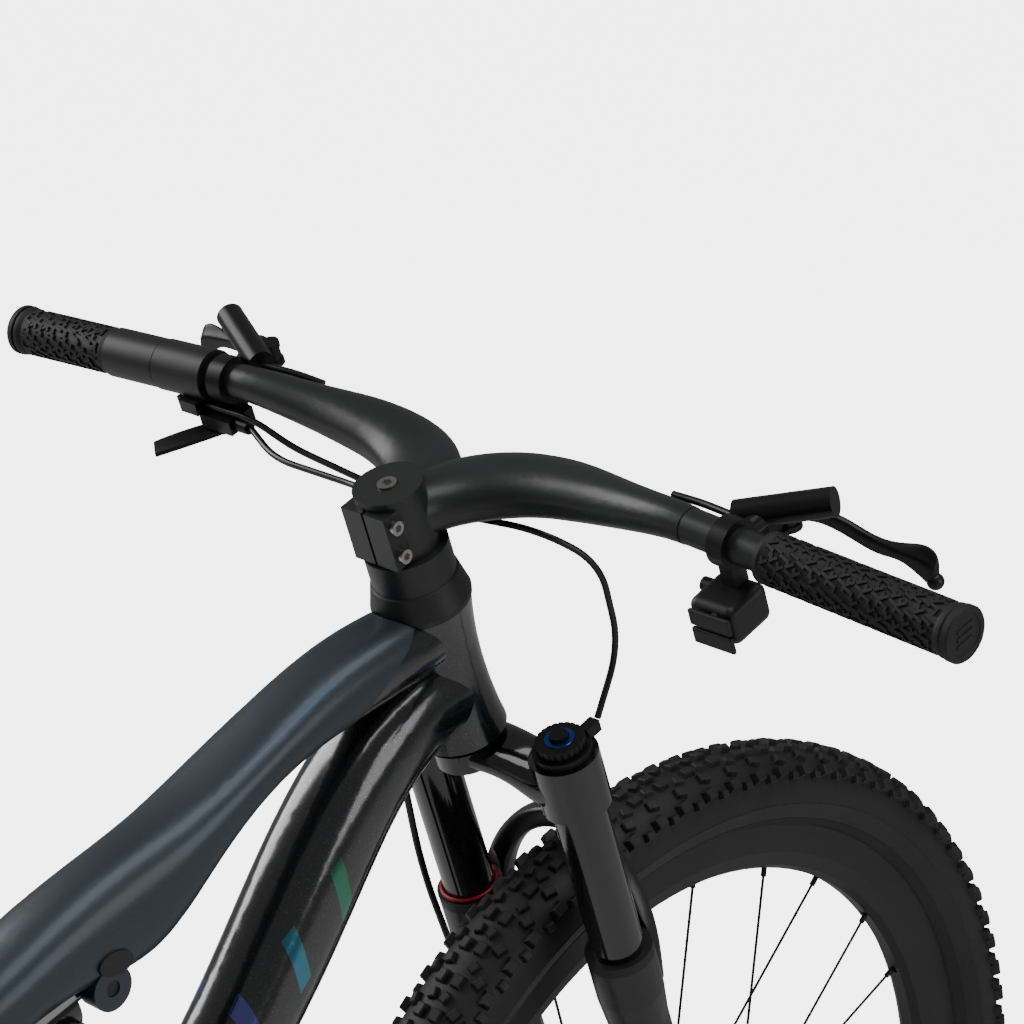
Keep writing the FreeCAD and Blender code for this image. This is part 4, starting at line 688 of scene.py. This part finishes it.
def makeSaddle():
    bm = bmesh.new()
    rings = []
    for x, z, half, high in saddle["sections"]:
        made = bmesh.ops.create_circle(bm, segments=32, radius=1)
        for vert in made["verts"]:
            c, s = vert.co.x, vert.co.y
            across = math.copysign(abs(c) ** 0.85, c) * half
            upward = math.copysign(abs(s) ** 0.85, s) * high
            if s > 0 and -0.11 < x < 0.06:
                upward -= saddle["slot"] * math.exp(-((across / 0.008) ** 2))
            vert.co = saddle["origin"] + Vector((x, across, z + upward))
        rings.append(list({edge for vert in made["verts"] for edge in vert.link_edges}))
    for a, b in zip(rings, rings[1:]):
        bmesh.ops.bridge_loops(bm, edges=a + b)
    for edges in (rings[0], rings[-1]):
        bmesh.ops.holes_fill(bm, edges=edges, sides=0)
    piece = finishPiece("saddlePad", bm, [saddleCover], "post", ["saddle_pad"], 50)
    return piece


makeSaddle()
print("stage: saddle")

# Floor, light and camera

floorMesh = bpy.data.meshes.new("floor")
floorBm = bmesh.new()
bmesh.ops.create_grid(floorBm, x_segments=1, y_segments=1, size=30)
floorBm.to_mesh(floorMesh)
floorBm.free()
floor = bpy.data.objects.new("floor", floorMesh)
bpy.context.scene.collection.objects.link(floor)
floorPaint, floorShader = newMaterial("studio floor", (0.8, 0.8, 0.8), 0.9)
seen = addNode(floorPaint, "ShaderNodeLightPath").outputs["Is Camera Ray"]
floorShader.inputs["Emission Color"].default_value = (1, 1, 1, 1)
link(floorPaint, mathNode(floorPaint, "MULTIPLY", seen, 4.5), floorShader.inputs["Emission Strength"])
floorMesh.materials.append(floorPaint)

studio = {"world": 0.2, "keyEnergy": 20.0, "rimEnergy": 42.0, "topEnergy": 27.0}
world = bpy.data.worlds.new("studio")
bpy.context.scene.world = world
world.use_nodes = True
world.node_tree.nodes["Background"].inputs["Color"].default_value = (1, 1, 1, 1)
world.node_tree.nodes["Background"].inputs["Strength"].default_value = studio["world"]


def softLight(name, location, target, size, energy):
    data = bpy.data.lights.new(name, "AREA")
    data.shape = "RECTANGLE"
    data.size, data.size_y = size
    data.energy = energy
    light = bpy.data.objects.new(name, data)
    light.location = location
    light.rotation_euler = (Vector(target) - Vector(location)).to_track_quat("-Z", "Y").to_euler()
    bpy.context.scene.collection.objects.link(light)
    return light


softLight("top softbox", (0.2, -0.6, 3.2), (0.3, 0, 0.8), (2.4, 1.2), studio["topEnergy"])
softLight("right softbox", (0.8, -2.8, 1.6), (0.3, 0, 0.8), (1.6, 1.6), studio["keyEnergy"])
softLight("left rim light", (-0.6, 2.4, 2.0), (0.3, 0, 0.9), (1.2, 1.8), studio["rimEnergy"])

view = {
    "position": (-1.2143, -1.4502, 1.6327), "azimuth": 42.26, "elevation": -17.37, "roll": 3.14,
    "lens": 127.7,
}
azimuth, elevation, roll = (math.radians(view[name]) for name in ("azimuth", "elevation", "roll"))
level = math.cos(elevation)
forward = Vector((level * math.cos(azimuth), level * math.sin(azimuth), math.sin(elevation)))
right = forward.cross(Vector((0, 0, 1))).normalized()
up = right.cross(forward)
cameraRight = right * math.cos(roll) + up * math.sin(roll)
cameraUp = up * math.cos(roll) - right * math.sin(roll)
cameraData = bpy.data.cameras.new("camera")
cameraData.lens = view["lens"]
cameraData.sensor_width = 36
cameraData.clip_end = 100
camera = bpy.data.objects.new("camera", cameraData)
bpy.context.scene.collection.objects.link(camera)
cameraTurn = Matrix((cameraRight, cameraUp, -forward)).transposed().to_4x4()
camera.matrix_world = Matrix.Translation(view["position"]) @ cameraTurn
bpy.context.scene.camera = camera
print("stage: floor, lights and camera")
